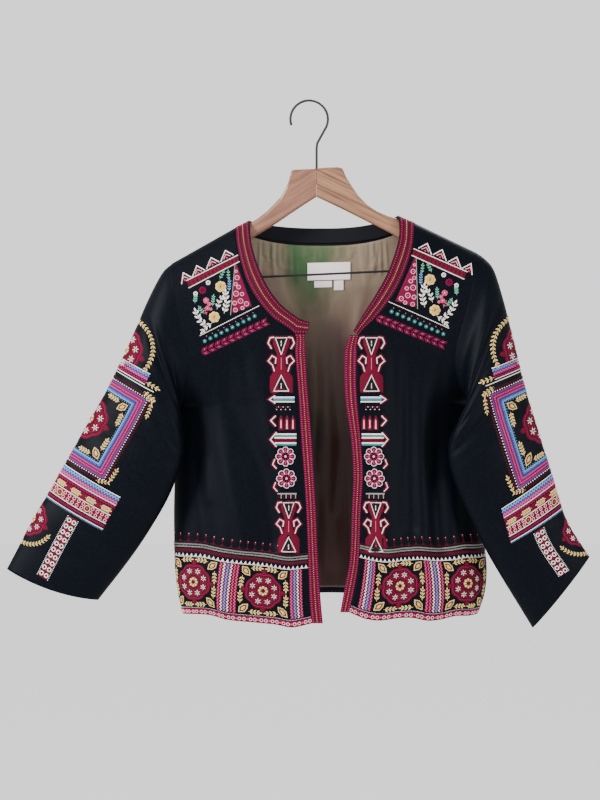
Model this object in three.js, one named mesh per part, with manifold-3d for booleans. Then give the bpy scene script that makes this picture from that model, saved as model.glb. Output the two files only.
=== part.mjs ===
// Embroidered jacket, hung open on a wooden hanger with a wire hook and a trouser bar.
// Units are millimetres. +X is to the right as seen from the front, the front faces -Y, +Z is up.
// The origin is the underside of the hook's top, where it would bear on a nail.
import * as THREE from 'three';
import { mergeVertices } from 'three/addons/utils/BufferGeometryUtils.js';
import Module from 'manifold-3d';

// Cloth walls and seams
const CLOTH_WALL = 1.6;
const BAND_WALL = 2.0;
const LINING_WALL = 0.8;
const LABEL_WALL = 0.8;
const SEAM_GAP = 0.36;
const LINING_STANDOFF = 2.8;

// Hanger
const WOOD_HALF = 6;
const WOOD_UNDER_CLOTH = 2.3;
const WOOD_JOINT_X = 11.3;
const HOOK_WIRE = 1.8;
const HOOK_RADIUS = 27.5;
const HOOK_CENTRE = [0.4, -25.7];
const BAR_WIRE = 1.6;
const WIRE_CLEARANCE = 0.3;

// Grid sizes
const RING_HALF_STEPS = 12;
const SIDE_STEPS = 10;
const NECK_STEPS = 10;
const LOWER_STEPS = 12;
const SLEEVE_STEPS = 20;

// A table is looked up by its first column and gives the others by a smooth curve.
function lookup(table, at) {
  const last = table.length - 1;
  let k = 0;
  while (k < last - 1 && at > table[k + 1][0]) k += 1;
  const [a, b] = [table[k], table[k + 1]];
  const before = table[Math.max(k - 1, 0)];
  const after = table[Math.min(k + 2, last)];
  const span = b[0] - a[0];
  const f = Math.min(Math.max((at - a[0]) / span, 0), 1);
  return a.slice(1).map((_, c) => {
    const i = c + 1;
    const slopeA = ((b[i] - before[i]) / (b[0] - before[0] || 1)) * span;
    const slopeB = ((after[i] - a[i]) / (after[0] - a[0] || 1)) * span;
    const f2 = f * f;
    const f3 = f2 * f;
    return a[i] * (2 * f3 - 3 * f2 + 1) + slopeA * (f3 - 2 * f2 + f)
      + b[i] * (3 * f2 - 2 * f3) + slopeB * (f3 - f2);
  });
}

const mix = (a, b, f) => a + (b - a) * f;
const mixPoint = (p, q, f) => p.map((value, i) => mix(value, q[i], f));
const clamp01 = (value) => Math.min(Math.max(value, 0), 1);
const smooth = (value) => clamp01(value) ** 2 * (3 - 2 * clamp01(value));

// Armhole loops and sleeve rings. Each ring runs from its outer point, over the front, to its inner
// point and back over the rear: step, outer x z y, inner x z y, front depth, back depth, bow, cuff sag.
const SLEEVE_RIGHT = [
  [0, -199, -237, 0, -190, -444, 0, 39, 38, 14, 0],
  [1, -215, -253, -2, -197, -456, -8, 38, 36, 10, 0],
  [2, -237, -296, -7, -189, -474, -26, 35, 31, 3, 0],
  [3, -262, -356, -13, -183, -497, -38, 32, 28, 0, 0],
  [4, -297, -428, -19, -187, -530, -42, 30, 26, 0, 1],
  [5, -335, -495, -24, -204, -576, -42, 28, 24, 0, 2],
  [6, -370, -557, -27, -232, -625, -39, 26, 22, 0, 4],
  [7, -404, -617, -29, -262, -669, -37, 23, 20, 0, 6],
  [8, -439, -683, -30, -307, -727, -36, 20, 17, 0, 8],
];
const SLEEVE_LEFT = [
  [0, 245, -222, 0, 233, -440, 3, 39, 37, -24, 0],
  [1, 257, -231, -3, 246, -453, -7, 38, 32, -24, 0],
  [2, 270, -248, -8, 237, -464, -27, 36, 30, -17, 0],
  [3, 283, -290, -15, 223, -474, -46, 34, 28, -7, 0],
  [4, 294, -335, -21, 207, -487, -57, 32, 27, 0, 0],
  [5, 306, -387, -26, 202, -510, -61, 30, 26, 0, 1],
  [6, 323, -450, -30, 207, -543, -61, 28, 24, 0, 2],
  [7, 348, -530, -34, 229, -597, -56, 26, 22, 0, 3],
  [8, 374, -612, -37, 262, -663, -50, 23, 20, 0, 3],
  [9, 407, -665, -38, 325, -767, -44, 20, 17, 0, 2],
];

function ringPoint(table, step, degrees) {
  const [ox, oz, oy, ix, iz, iy, front, back, bow, sag] = lookup(table, step);
  const angle = (degrees * Math.PI) / 180;
  const across = (1 - Math.cos(angle)) / 2;
  const depth = Math.sin(angle) > 0 ? front : back;
  const lean = Math.sin(angle) > 0 ? bow : bow * 0.4 * clamp01(1 - step);
  return [
    mix(ox, ix, across) + lean * Math.sin(Math.PI * across * across),
    mix(oy, iy, across) - depth * Math.sin(angle),
    mix(oz, iz, across) - sag * Math.sin(angle) ** 2,
  ];
}

// Front and neck edges, by the armhole's angle: x, y, z.
const EDGE_RIGHT = [
  [0, -107, 0, -185], [15, -106.6, -9, -189], [30, -106, -17, -199], [45, -104, -25, -214],
  [60, -99, -33, -236], [75, -90, -39, -264], [90, -75, -44, -291], [105, -53, -47.5, -317],
  [120, -21, -50, -341], [135, -20, -51.5, -367], [150, -17.6, -52.5, -397],
  [165, -15.5, -53.3, -423], [180, -14, -54, -444],
];
const EDGE_LEFT = [
  [0, 154, 0, -178], [15, 153.6, -9, -182], [30, 153, -17, -192], [45, 151.5, -25, -208],
  [60, 147.5, -33, -226], [75, 141, -39, -245], [90, 131, -44, -268], [105, 116, -47.5, -293],
  [120, 96, -50, -318], [135, 72, -52, -343], [150, 69, -53, -378], [165, 68.5, -53.5, -411],
  [180, 70, -54, -442],
];
// The same edges below the armhole, by share of the way to the hem: x, y, z.
const EDGE_RIGHT_LOW = [
  [0, -14, -54, -444], [0.16, -11, -55, -495], [0.32, -7, -56.5, -546], [0.48, -4, -58, -597],
  [0.71, -1, -60, -669], [0.9, 1, -61, -728], [1, 4, -61, -760],
];
const EDGE_LEFT_LOW = [
  [0, 70, -54, -442], [0.17, 75, -55, -495], [0.34, 78, -56.5, -546], [0.5, 75, -58, -596],
  [0.75, 72, -60, -669], [0.9, 65, -61, -714], [1, 58, -61, -744],
];
// Side seams below the armhole, by share of the way to the hem: x, y, z.
const SIDE_RIGHT = [
  [0, -190, 0, -444], [0.17, -193, 0, -496], [0.33, -195.5, 0, -545], [0.5, -197, 1, -597],
  [0.67, -196.5, 2, -648], [0.8, -195, 2, -688], [0.92, -190, 2, -725], [1, -184, 2, -749],
];
const SIDE_LEFT = [
  [0, 233, 3, -440], [0.17, 236, 4, -492], [0.33, 243, 5, -542], [0.5, 250, 5, -595],
  [0.67, 256, 5, -647], [0.78, 260, 5, -681], [0.9, 257, 4, -719], [1, 247, 4, -749],
];
// Hem lines, by share of the way from the front edge to the side: drop below the straight line.
const HEM_RIGHT = [[0, 0], [0.15, -7.5], [0.28, -5], [0.46, -4], [0.64, -3], [0.8, 2], [1, 0]];
const HEM_LEFT = [
  [0, 0], [0.12, -8.5], [0.23, -11], [0.36, -7.5], [0.48, -6], [0.6, -10], [0.7, -8.5],
  [0.82, -3], [0.93, -2.5], [1, 0],
];

// Back columns under the neck points and down the middle, by the armhole's angle: x, y, z.
const NECK_BACK_RIGHT = [
  [0, -107, 0, -185], [15, -107, 9, -190], [30, -107, 18, -202], [45, -107, 25, -219],
  [60, -107, 31, -241], [90, -107, 38, -293], [120, -107, 42, -347], [150, -107, 44, -400],
  [180, -107, 45.5, -444],
];
const NECK_BACK_LEFT = [
  [0, 154, 0, -178], [15, 154, 9, -183], [30, 154, 18, -195], [45, 154, 25, -212],
  [60, 154, 31, -234], [90, 153, 38, -287], [120, 152, 42, -342], [150, 151, 44, -397],
  [180, 150, 45.5, -442],
];
const MIDDLE_BACK = [
  [0, 20, 34, -206], [15, 20, 35, -216], [30, 20, 36.5, -229], [45, 20, 38, -245],
  [60, 20, 40, -264], [90, 20, 43.5, -308], [120, 21, 46, -356], [150, 22, 47.5, -404],
  [180, 22, 48.5, -444],
];
// The same columns at the hem
const HEM_BACK_RIGHT = [-100, 52, -737];
const HEM_BACK_LEFT = [160, 52, -735];
const HEM_BACK_MIDDLE = [31, 56, -722];

// Neckband inner edges, by the armhole's angle: x, y, z.
const BAND_RIGHT = [
  [0, -87, 0, -175], [15, -86.6, -8, -179], [30, -86, -15.5, -189], [45, -84.5, -24, -204],
  [60, -79.5, -32, -226], [75, -71, -39, -249], [90, -58.5, -45, -275], [105, -39, -48.5, -300],
  [120, -15, -51, -318.5],
];
const BAND_RIGHT_TIPS = [[[-14, -50.5, -340.7], [-7, -51.5, -321.8]], [[-2, -51, -340.7], [1, -52, -324]]];
const BAND_LEFT = [
  [0, 130, 0, -168], [15, 131, -8, -171.5], [30, 132, -15.5, -182], [45, 131.5, -24, -198],
  [60, 128, -32, -213], [75, 121.5, -39, -233], [90, 112, -45, -257], [105, 98, -48.5, -282],
  [120, 81, -51, -309], [135, 64, -53, -337],
];
// Neckband top edge at the back, by x: y, z.
const BAND_BACK_SPAN = [-87, 130];
const BAND_BACK_MIDDLE = [31.5, -184];
// Front band opening edges, by z from the top: z, x, y.
const OPENING_RIGHT = [
  [342, -6, -51], [367, -5, -52.5], [408, -3, -54], [444, 0, -55.5], [495, 4, -56.5],
  [546, 7, -58], [597, 10, -59], [669, 13, -61], [728, 17, -61], [760, 20, -61],
];
const OPENING_LEFT = [
  [344, 59, -53], [367, 52, -54], [401, 51, -55], [440, 53, -56], [495, 61, -56.5],
  [546, 64, -58], [596, 62, -59.5], [669, 59, -61], [712, 51, -61], [745, 45, -61],
];

// Large folds: depth (towards the body when negative), width, then the line x z x z.
const FOLDS_RIGHT = [
  [-7, 17, -120, -360, -115, -430, -66, -538, -50, -640],
  [5, 15, -140, -440, -119, -538, -97, -640],
  [-5, 14, -170, -470, -160, -560, -150, -650],
  [4, 16, -76, -430, -40, -560, -33, -650],
];
const FOLDS_LEFT = [
  [-7, 15, 145, -350, 144, -450, 147, -620],
  [5, 13, 165, -400, 163, -500, 168, -640],
  [-7, 14, 186, -470, 182, -560, 190, -660],
  [5, 14, 207, -540, 212, -660],
  [4, 16, 106, -420, 106, -560, 112, -660],
];
const FOLDS_BACK = [
  [-6, 20, -120, -360, -128, -480, -120, -690],
  [5, 18, -80, -380, -78, -520, -84, -690],
  [-5, 20, -30, -420, -36, -560, -30, -690],
  [4, 20, 30, -330, 26, -480, 34, -690],
  [-6, 20, 90, -400, 96, -520, 92, -690],
  [5, 18, 140, -370, 142, -500, 146, -690],
  [-6, 18, 190, -400, 198, -520, 204, -700],
];
// Sleeve folds: depth, width in mm along the sleeve, step on the sleeve, middle angle, half spread.
const SLEEVE_FOLDS_RIGHT = [
  [-5, 13, 2.2, 60, 60], [4, 14, 3.1, 80, 70], [-5, 13, 4.1, 100, 60], [4, 14, 4.9, 70, 60],
  [-4.5, 13, 5.7, 110, 60], [-4, 14, 3.4, 270, 60], [4, 14, 4.6, 250, 70], [-4, 14, 5.8, 280, 60],
];
const SLEEVE_FOLDS_LEFT = [
  [-5, 13, 2.9, 70, 60], [4, 14, 4.2, 60, 70], [-5, 13, 5.3, 100, 60], [4, 14, 6.1, 70, 60],
  [-5, 13, 6.9, 90, 60], [-4, 14, 4.4, 270, 60], [4, 14, 5.6, 250, 70], [-4, 14, 6.8, 280, 60],
];

// Distance from a point to a broken line in the x z plane, and the share of the way along it.
function alongLine(points, x, z) {
  let best = [Infinity, 0];
  const count = points.length / 2 - 1;
  for (let k = 0; k < count; k += 1) {
    const [ax, az, bx, bz] = points.slice(2 * k, 2 * k + 4);
    const length2 = (bx - ax) ** 2 + (bz - az) ** 2;
    const f = clamp01(((x - ax) * (bx - ax) + (z - az) * (bz - az)) / length2);
    const away = Math.hypot(x - mix(ax, bx, f), z - mix(az, bz, f));
    if (away < best[0]) best = [away, (k + f) / count];
  }
  return best;
}

function foldHeight(folds, x, z) {
  let height = 0;
  for (const [depth, width, ...line] of folds) {
    const [away, share] = alongLine(line, x, z);
    height += depth * Math.exp(-((away / width) ** 2)) * smooth(share * 3 + 0.15);
  }
  return height;
}

const SIDE_SHARES = Array.from({ length: SIDE_STEPS + 1 }, (_, j) => 1 - (1 - j / SIDE_STEPS) ** 1.35);
const RING_ANGLES = Array.from({ length: RING_HALF_STEPS + 1 }, (_, i) => (180 * i) / RING_HALF_STEPS);
const LOW_SHARES = Array.from({ length: LOWER_STEPS }, (_, i) => (i + 1) / LOWER_STEPS);

// Body rows: armhole angles first, then shares of the way from underarm to hem.
const ROWS = [
  ...RING_ANGLES.map((angle) => ({ angle, share: 0 })),
  ...LOW_SHARES.map((share) => ({ angle: 180, share })),
];

// How round the body's section is at a row: 1 is a parabola, 2 an ellipse.
const roundness = (row) => 1 + smooth((row.share - 0.1) / 0.6);

function frontPanel(side) {
  const right = side === 'right';
  const [edge, low, seam, sleeve, hem, folds] = right
    ? [EDGE_RIGHT, EDGE_RIGHT_LOW, SIDE_RIGHT, SLEEVE_RIGHT, HEM_RIGHT, FOLDS_RIGHT]
    : [EDGE_LEFT, EDGE_LEFT_LOW, SIDE_LEFT, SLEEVE_LEFT, HEM_LEFT, FOLDS_LEFT];
  return ROWS.map((row) => SIDE_SHARES.map((v) => {
    const inner = row.share > 0 ? lookup(low, row.share) : lookup(edge, row.angle);
    const outer = row.share > 0 ? lookup(seam, row.share) : ringPoint(sleeve, 0, row.angle);
    const keep = Math.max(1 - v * v, 0) ** (1 / roundness(row));
    const x = mix(inner[0], outer[0], v);
    const z = mix(inner[2], outer[2], v) + (row.share ? lookup(hem, v)[0] * row.share ** 3 : 0);
    const fade = smooth(v / 0.15) * smooth((1 - v) / 0.2) * smooth(row.angle / 100);
    const y = outer[1] + (inner[1] - outer[1]) * keep - foldHeight(folds, x, z) * fade;
    return [x, y, z];
  }));
}

function backPanel() {
  const rows = ROWS.map((row) => {
    const shoulder = (sleeve, seam, neck, hemPoint) => {
      const neckPoint = row.share > 0
        ? mixPoint(lookup(neck, 180), hemPoint, row.share) : lookup(neck, row.angle);
      const outer = row.share > 0 ? lookup(seam, row.share) : ringPoint(sleeve, 0, 360 - row.angle);
      const points = SIDE_SHARES.map((v) => {
        const keep = Math.max(1 - v * v, 0) ** (1 / roundness(row));
        const x = mix(neckPoint[0], outer[0], v);
        const z = mix(neckPoint[2], outer[2], v);
        const fade = smooth((1 - v) / 0.2) * smooth(row.angle / 100);
        return [x, outer[1] + (neckPoint[1] - outer[1]) * keep + foldHeight(FOLDS_BACK, x, z) * fade, z];
      });
      return [neckPoint, points];
    };
    const [neckR, pointsR] = shoulder(SLEEVE_RIGHT, SIDE_RIGHT, NECK_BACK_RIGHT, HEM_BACK_RIGHT);
    const [neckL, pointsL] = shoulder(SLEEVE_LEFT, SIDE_LEFT, NECK_BACK_LEFT, HEM_BACK_LEFT);
    const middle = row.share > 0
      ? mixPoint(lookup(MIDDLE_BACK, 180), HEM_BACK_MIDDLE, row.share) : lookup(MIDDLE_BACK, row.angle);
    const neckPoints = [];
    for (let k = 1; k < NECK_STEPS; k += 1) {
      neckPoints.push(neckCurve(neckR, neckL, middle, (180 * k) / NECK_STEPS, row));
    }
    return [...pointsR.reverse(), ...neckPoints, ...pointsL];
  });
  return rows;
}

// Point on the back's curve between the two neck columns; the angle goes from 0 to 180.
function neckCurve(neckR, neckL, middle, degrees, row) {
  const along = -Math.cos((degrees * Math.PI) / 180);
  const end = along < 0 ? neckR : neckL;
  const s = Math.abs(along);
  const x = mix(middle[0], end[0], s);
  const bend = mix(1.7, 1.1, smooth(row.angle / 90));
  const y = mix(end[1], middle[1], Math.max(1 - s * s, 0) ** (1 / bend));
  const z = mix(middle[2], end[2], s ** mix(2.6, 2, smooth(row.angle / 90)));
  const fade = smooth(row.angle / 100);
  return [x, y + foldHeight(FOLDS_BACK, x, z) * fade, z];
}

function sleeveGrid(table, folds) {
  const last = table.length - 1;
  const rings = [];
  for (let i = 0; i <= SLEEVE_STEPS; i += 1) {
    const step = (last * i) / SLEEVE_STEPS;
    const ring = [];
    for (let j = 0; j < 2 * RING_HALF_STEPS; j += 1) {
      const degrees = (180 * j) / RING_HALF_STEPS;
      const point = ringPoint(table, step, degrees);
      const out = Math.sin((degrees * Math.PI) / 180);
      let height = 0;
      for (const [depth, width, at, angle, spread] of folds) {
        const off = ((step - at) * 62) / width;
        const turn = ((degrees - angle + 540) % 360) - 180;
        height += depth * Math.exp(-off * off) * Math.exp(-((turn / spread) ** 2));
      }
      point[1] -= height * out * smooth(step / 1.5);
      ring.push(point);
    }
    rings.push(ring);
  }
  return rings;
}

// Bands: rows along the length, columns from the panel's edge to the free edge.
function bandBetween(outerLine, innerLine, columns, crown) {
  return outerLine.map((outer, i) => Array.from({ length: columns + 1 }, (_, j) => {
    const f = j / columns;
    const point = mixPoint(outer, innerLine[i], f);
    point[1] -= crown * Math.sin(Math.PI * f) * clamp01(i / 2);
    return point;
  }));
}

function neckBand(side) {
  const right = side === 'right';
  const [edge, band, lastAngle] = right ? [EDGE_RIGHT, BAND_RIGHT, 120] : [EDGE_LEFT, BAND_LEFT, 135];
  const angles = RING_ANGLES.filter((angle) => angle <= lastAngle);
  const outer = angles.map((angle) => lookup(edge, angle));
  const inner = angles.map((angle) => lookup(band, angle));
  if (right) {
    for (const [low, high] of BAND_RIGHT_TIPS) {
      outer.push(low);
      inner.push(high);
    }
  }
  return bandBetween(outer, inner, 2, 0.6);
}

function frontBand(side) {
  const right = side === 'right';
  const [edge, low, opening] = right
    ? [EDGE_RIGHT, EDGE_RIGHT_LOW, OPENING_RIGHT] : [EDGE_LEFT, EDGE_LEFT_LOW, OPENING_LEFT];
  const firstAngle = right ? 120 : 135;
  const outer = [
    ...RING_ANGLES.filter((angle) => angle >= firstAngle).map((angle) => lookup(edge, angle)),
    ...LOW_SHARES.map((share) => lookup(low, share)),
  ];
  const inner = outer.map((point) => {
    const [x, y] = lookup(opening, Math.max(-point[2], opening[0][0]));
    return [x, y, point[2]];
  });
  return bandBetween(outer, inner, 2, 0.4);
}

function backBand() {
  const rows = [];
  const row = { angle: 0 };
  for (let k = 0; k <= NECK_STEPS; k += 1) {
    const degrees = (180 * k) / NECK_STEPS;
    const low = k === 0 ? lookup(NECK_BACK_RIGHT, 0) : k === NECK_STEPS ? lookup(NECK_BACK_LEFT, 0)
      : neckCurve(lookup(NECK_BACK_RIGHT, 0), lookup(NECK_BACK_LEFT, 0), lookup(MIDDLE_BACK, 0), degrees, row);
    const along = -Math.cos((degrees * Math.PI) / 180);
    const s = Math.abs(along);
    const end = along < 0 ? BAND_RIGHT[0] : BAND_LEFT[0];
    const high = [
      mix(20, end[1], s),
      mix(0, BAND_BACK_MIDDLE[0], Math.max(1 - s * s, 0) ** (1 / 1.7)),
      mix(BAND_BACK_MIDDLE[1], end[3], s ** 2.6),
    ];
    rows.push([low, mixPoint(low, high, 0.5), high]);
  }
  return rows;
}

// A sheet is a grid of points with outward normals. Turn is +1 or -1, whichever faces out.
function makeSheet(points, turn, wrap = false) {
  const rows = points.length;
  const columns = points[0].length;
  const at = (i, j) => {
    const ii = Math.min(Math.max(i, 0), rows - 1);
    const jj = wrap ? (j + columns) % columns : Math.min(Math.max(j, 0), columns - 1);
    return new THREE.Vector3(...points[ii][jj]);
  };
  const normals = points.map((line, i) => line.map((_, j) => {
    const down = at(i + 1, j).sub(at(i - 1, j));
    const across = at(i, j + 1).sub(at(i, j - 1));
    return down.cross(across).multiplyScalar(turn).normalize();
  }));
  const spots = points.map((line) => line.map((point) => new THREE.Vector3(...point)));
  return { spots, normals, own: normals.map((line) => line.map((n) => n.clone())), turn, wrap };
}

// Sheets that share seam points get one common normal there, so their walls are mitred alike.
function matchSeams(sheets) {
  const shared = new Map();
  for (const sheet of sheets) {
    sheet.spots.forEach((line, i) => line.forEach((spot, j) => {
      const key = [spot.x, spot.y, spot.z].map((value) => Math.round(value * 50)).join('_');
      if (!shared.has(key)) shared.set(key, []);
      shared.get(key).push(sheet.normals[i][j]);
    }));
  }
  for (const group of shared.values()) {
    if (group.length < 2) continue;
    const sum = new THREE.Vector3();
    group.forEach((normal) => sum.add(normal));
    sum.normalize();
    group.forEach((normal) => normal.copy(sum));
  }
}

// Draws the sheet's seam edges back by half the seam gap.
function openSeams(sheet, edges) {
  const rows = sheet.spots.length;
  const columns = sheet.spots[0].length;
  const pull = (spot, towards) => {
    const move = towards.clone().sub(spot);
    spot.addScaledVector(move, SEAM_GAP / 2 / move.length());
  };
  if (edges.includes('top')) sheet.spots[0].forEach((spot, j) => pull(spot, sheet.spots[1][j]));
  if (edges.includes('bottom')) {
    sheet.spots[rows - 1].forEach((spot, j) => pull(spot, sheet.spots[rows - 2][j]));
  }
  if (edges.includes('first')) sheet.spots.forEach((line) => pull(line[0], line[1]));
  if (edges.includes('last')) sheet.spots.forEach((line) => pull(line[columns - 1], line[columns - 2]));
}

// Closed wall of even thickness round a sheet, from offset -back to offset +front.
function wallGeometry(sheet, front, back) {
  const rows = sheet.spots.length;
  const columns = sheet.spots[0].length;
  const vertices = [];
  const faces = [];
  for (const offset of [front, -back]) {
    sheet.spots.forEach((line, i) => line.forEach((spot, j) => {
      const normal = sheet.normals[i][j];
      const scale = 1 / Math.max(normal.dot(sheet.own[i][j]), 0.7);
      vertices.push(spot.x + normal.x * offset * scale, spot.y + normal.y * offset * scale,
        spot.z + normal.z * offset * scale);
    }));
  }
  const id = (layer, i, j) => layer * rows * columns + i * columns + (j % columns);
  const quad = (a, b, c, d) => (sheet.turn > 0
    ? faces.push(a, b, c, a, c, d) : faces.push(a, c, b, a, d, c));
  const width = sheet.wrap ? columns : columns - 1;
  for (let i = 0; i < rows - 1; i += 1) {
    for (let j = 0; j < width; j += 1) {
      quad(id(0, i, j), id(0, i + 1, j), id(0, i + 1, j + 1), id(0, i, j + 1));
      quad(id(1, i, j), id(1, i, j + 1), id(1, i + 1, j + 1), id(1, i + 1, j));
    }
  }
  for (let j = 0; j < width; j += 1) {
    quad(id(0, 0, j), id(0, 0, j + 1), id(1, 0, j + 1), id(1, 0, j));
    quad(id(1, rows - 1, j), id(1, rows - 1, j + 1), id(0, rows - 1, j + 1), id(0, rows - 1, j));
  }
  if (!sheet.wrap) {
    for (let i = 0; i < rows - 1; i += 1) {
      quad(id(1, i, 0), id(1, i + 1, 0), id(0, i + 1, 0), id(0, i, 0));
      quad(id(0, i, columns - 1), id(0, i + 1, columns - 1), id(1, i + 1, columns - 1), id(1, i, columns - 1));
    }
  }
  return indexed(vertices, faces);
}

function indexed(vertices, faces) {
  const geometry = new THREE.BufferGeometry();
  geometry.setAttribute('position', new THREE.Float32BufferAttribute(vertices, 3));
  geometry.setIndex(faces);
  geometry.computeVertexNormals();
  return geometry;
}

// Solid through closed rings of equal count, with flat caps.
function ringSolid(rings) {
  const count = rings[0].length;
  const vertices = rings.flat(2);
  const faces = [];
  for (let i = 0; i < rings.length - 1; i += 1) {
    for (let j = 0; j < count; j += 1) {
      const a = i * count + j;
      const b = i * count + ((j + 1) % count);
      faces.push(a, b, b + count, a, b + count, a + count);
    }
  }
  for (let j = 1; j < count - 1; j += 1) {
    faces.push(0, j + 1, j);
    const base = (rings.length - 1) * count;
    faces.push(base, base + j, base + j + 1);
  }
  return indexed(vertices, faces);
}

// Round wire of one radius along a line of points in the x z plane, y being constant.
function wireSolid(line, radius, sides = 12) {
  const rings = line.map((point, i) => {
    const before = line[Math.max(i - 1, 0)];
    const after = line[Math.min(i + 1, line.length - 1)];
    const angle = Math.atan2(after[1] - before[1], after[0] - before[0]);
    return Array.from({ length: sides }, (_, j) => {
      const turn = (2 * Math.PI * j) / sides;
      const side = radius * Math.cos(turn);
      return [point[0] - side * Math.sin(angle), -radius * Math.sin(turn), point[1] + side * Math.cos(angle)];
    });
  });
  return ringSolid(rings);
}

const wasm = await Module();
wasm.setup();

function toManifold(geometry) {
  const bare = geometry.clone();
  bare.deleteAttribute('normal');
  const merged = mergeVertices(bare, 1e-4);
  return new wasm.Manifold(new wasm.Mesh({
    numProp: 3,
    vertProperties: new Float32Array(merged.attributes.position.array),
    triVerts: new Uint32Array(merged.index.array),
  }));
}

function fromManifold(solid) {
  const mesh = solid.getMesh();
  return indexed(Array.from(mesh.vertProperties), Array.from(mesh.triVerts));
}

// Hanger arms. Stations along x from the middle outwards: x, top z, bottom z.
const ARM_RIGHT = [
  [WOOD_JOINT_X - 0.15, -98, -139.6], [-6, -98.8, -150.5], [-20, -99.3, -160], [-25, -100.5, -163.2],
  [-27, -104, -164.5], [-28.5, -112, -165.5], [-31, -120, -167.2], [-35, -129, -170],
  [-41, -139, -174], [-50, -149, -180], [-62, -161, -187.5], [-76, -171.6, -196],
  [-88, -178.9, -203], [-97, -183.6, -208.5], [-107, -188.4, -214], [-135, -203.1, -229.5], [-160, -217.3, -243.5],
  [-178, -227.6, -254], [-188, -233.6, -258], [-194, -239, -257.5], [-197, -243.5, -254],
];
const ARM_LEFT = [
  [WOOD_JOINT_X + 0.15, -97.4, -139.8], [28, -96.2, -147.5], [42, -95.4, -154.2],
  [48, -96.5, -157], [50.5, -100, -158.2], [54, -109, -160], [62, -122, -164],
  [72, -137, -169], [84, -149.5, -175], [98, -159, -182], [114, -166.2, -190],
  [130, -171.6, -198.4], [154, -181.6, -209], [180, -192.9, -221], [205, -205, -232.5],
  [222, -213.2, -240], [232, -218.4, -243], [239, -224.5, -242], [242, -229.5, -239],
];

function armSolid(stations, outward) {
  const rings = stations.map(([x, top, bottom]) => {
    const round = Math.min(WOOD_HALF - 0.2, (top - bottom) / 2 - 0.5);
    const ring = [];
    for (let k = 0; k < 4; k += 1) {
      for (let m = 0; m <= 3; m += 1) {
        const turn = ((k * 90 + m * 30) * Math.PI) / 180;
        const cy = k === 0 || k === 3 ? WOOD_HALF - round : -(WOOD_HALF - round);
        const cz = k < 2 ? top - round : bottom + round;
        ring.push([x, cy + round * Math.cos(turn), cz + round * Math.sin(turn)]);
      }
    }
    return outward > 0 ? ring : ring.reverse();
  });
  return ringSolid(rings);
}

function hookLine() {
  const line = [[WOOD_JOINT_X, -121], [WOOD_JOINT_X, -97], [WOOD_JOINT_X, -68], [12.2, -61], [16.6, -53]];
  for (let degrees = -36; degrees <= 199; degrees += 11.75) {
    const turn = (degrees * Math.PI) / 180;
    line.push([HOOK_CENTRE[0] + HOOK_RADIUS * Math.cos(turn), HOOK_CENTRE[1] + HOOK_RADIUS * Math.sin(turn)]);
  }
  return line;
}

const BAR_LINE = [
  [-171, -247], [-171, -256], [-169.6, -259.6], [-166, -261.3], [-91, -257.8], [122, -248],
  [211, -243.9], [214.6, -242], [216, -238], [216, -229],
];

function holeFor(line, radius) {
  return toManifold(wireSolid(line, radius, 16));
}

function drilled(geometry, cutters) {
  let solid = toManifold(geometry);
  for (const cutter of cutters) solid = solid.subtract(cutter);
  return fromManifold(solid);
}

const stemHole = holeFor([[WOOD_JOINT_X, -121.5], [WOOD_JOINT_X, -90]], HOOK_WIRE + WIRE_CLEARANCE);
const barHoleRight = holeFor([[-171, -246.5], [-171, -275]].reverse(), BAR_WIRE + WIRE_CLEARANCE);
const barHoleLeft = holeFor([[216, -228.5], [216, -260]].reverse(), BAR_WIRE + WIRE_CLEARANCE);

// Sheets
const backSheet = makeSheet(backPanel(), -1);
const frontRight = makeSheet(frontPanel('right'), -1);
const frontLeft = makeSheet(frontPanel('left'), 1);
const sleeveRight = makeSheet(sleeveGrid(SLEEVE_RIGHT, SLEEVE_FOLDS_RIGHT), 1, true);
const sleeveLeft = makeSheet(sleeveGrid(SLEEVE_LEFT, SLEEVE_FOLDS_LEFT), -1, true);
const neckRight = makeSheet(neckBand('right'), 1);
const neckLeft = makeSheet(neckBand('left'), -1);
const neckBack = makeSheet(backBand(), -1);
const bandRight = makeSheet(frontBand('right'), 1);
const bandLeft = makeSheet(frontBand('left'), -1);
matchSeams([backSheet, frontRight, frontLeft, sleeveRight, sleeveLeft, neckRight, neckLeft, neckBack,
  bandRight, bandLeft]);

// A point and normal anywhere on a sheet, by fractional row and column.
function sampleSheet(sheet, row, column) {
  const i = Math.min(Math.floor(row), sheet.spots.length - 2);
  const j = Math.min(Math.floor(column), sheet.spots[0].length - 2);
  const [fi, fj] = [row - i, column - j];
  const blend = (grid) => grid[i][j].clone().lerp(grid[i][j + 1], fj)
    .lerp(grid[i + 1][j].clone().lerp(grid[i + 1][j + 1], fj), fi);
  return [blend(sheet.spots), blend(sheet.normals).normalize()];
}

const LINING_ROWS = 22;
const LINING_MARGIN = 3;
const LINING_START = 0.35;
function liningGrid(standoff) {
  const columns = backSheet.spots[0].length - 1;
  const lastRow = backSheet.spots.length - 1 - 0.8;
  const count = columns - 2 * LINING_MARGIN;
  const rows = [];
  for (let i = 0; i <= LINING_ROWS; i += 1) {
    const line = [];
    for (let j = 0; j <= count; j += 1) {
      const column = mix(LINING_MARGIN, columns - LINING_MARGIN, j / count);
      const beyond = Math.max(SIDE_STEPS - column, column - SIDE_STEPS - NECK_STEPS, -1);
      const start = LINING_START + 2.6 * smooth((beyond + 1) / 3);
      const row = mix(start, lastRow, i / LINING_ROWS);
      const [spot, normal] = sampleSheet(backSheet, row, column);
      spot.addScaledVector(normal, -standoff);
      line.push([spot.x, spot.y, spot.z]);
    }
    rows.push(line);
  }
  return rows;
}
const liningSheet = makeSheet(liningGrid(LINING_STANDOFF), -1);

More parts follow.
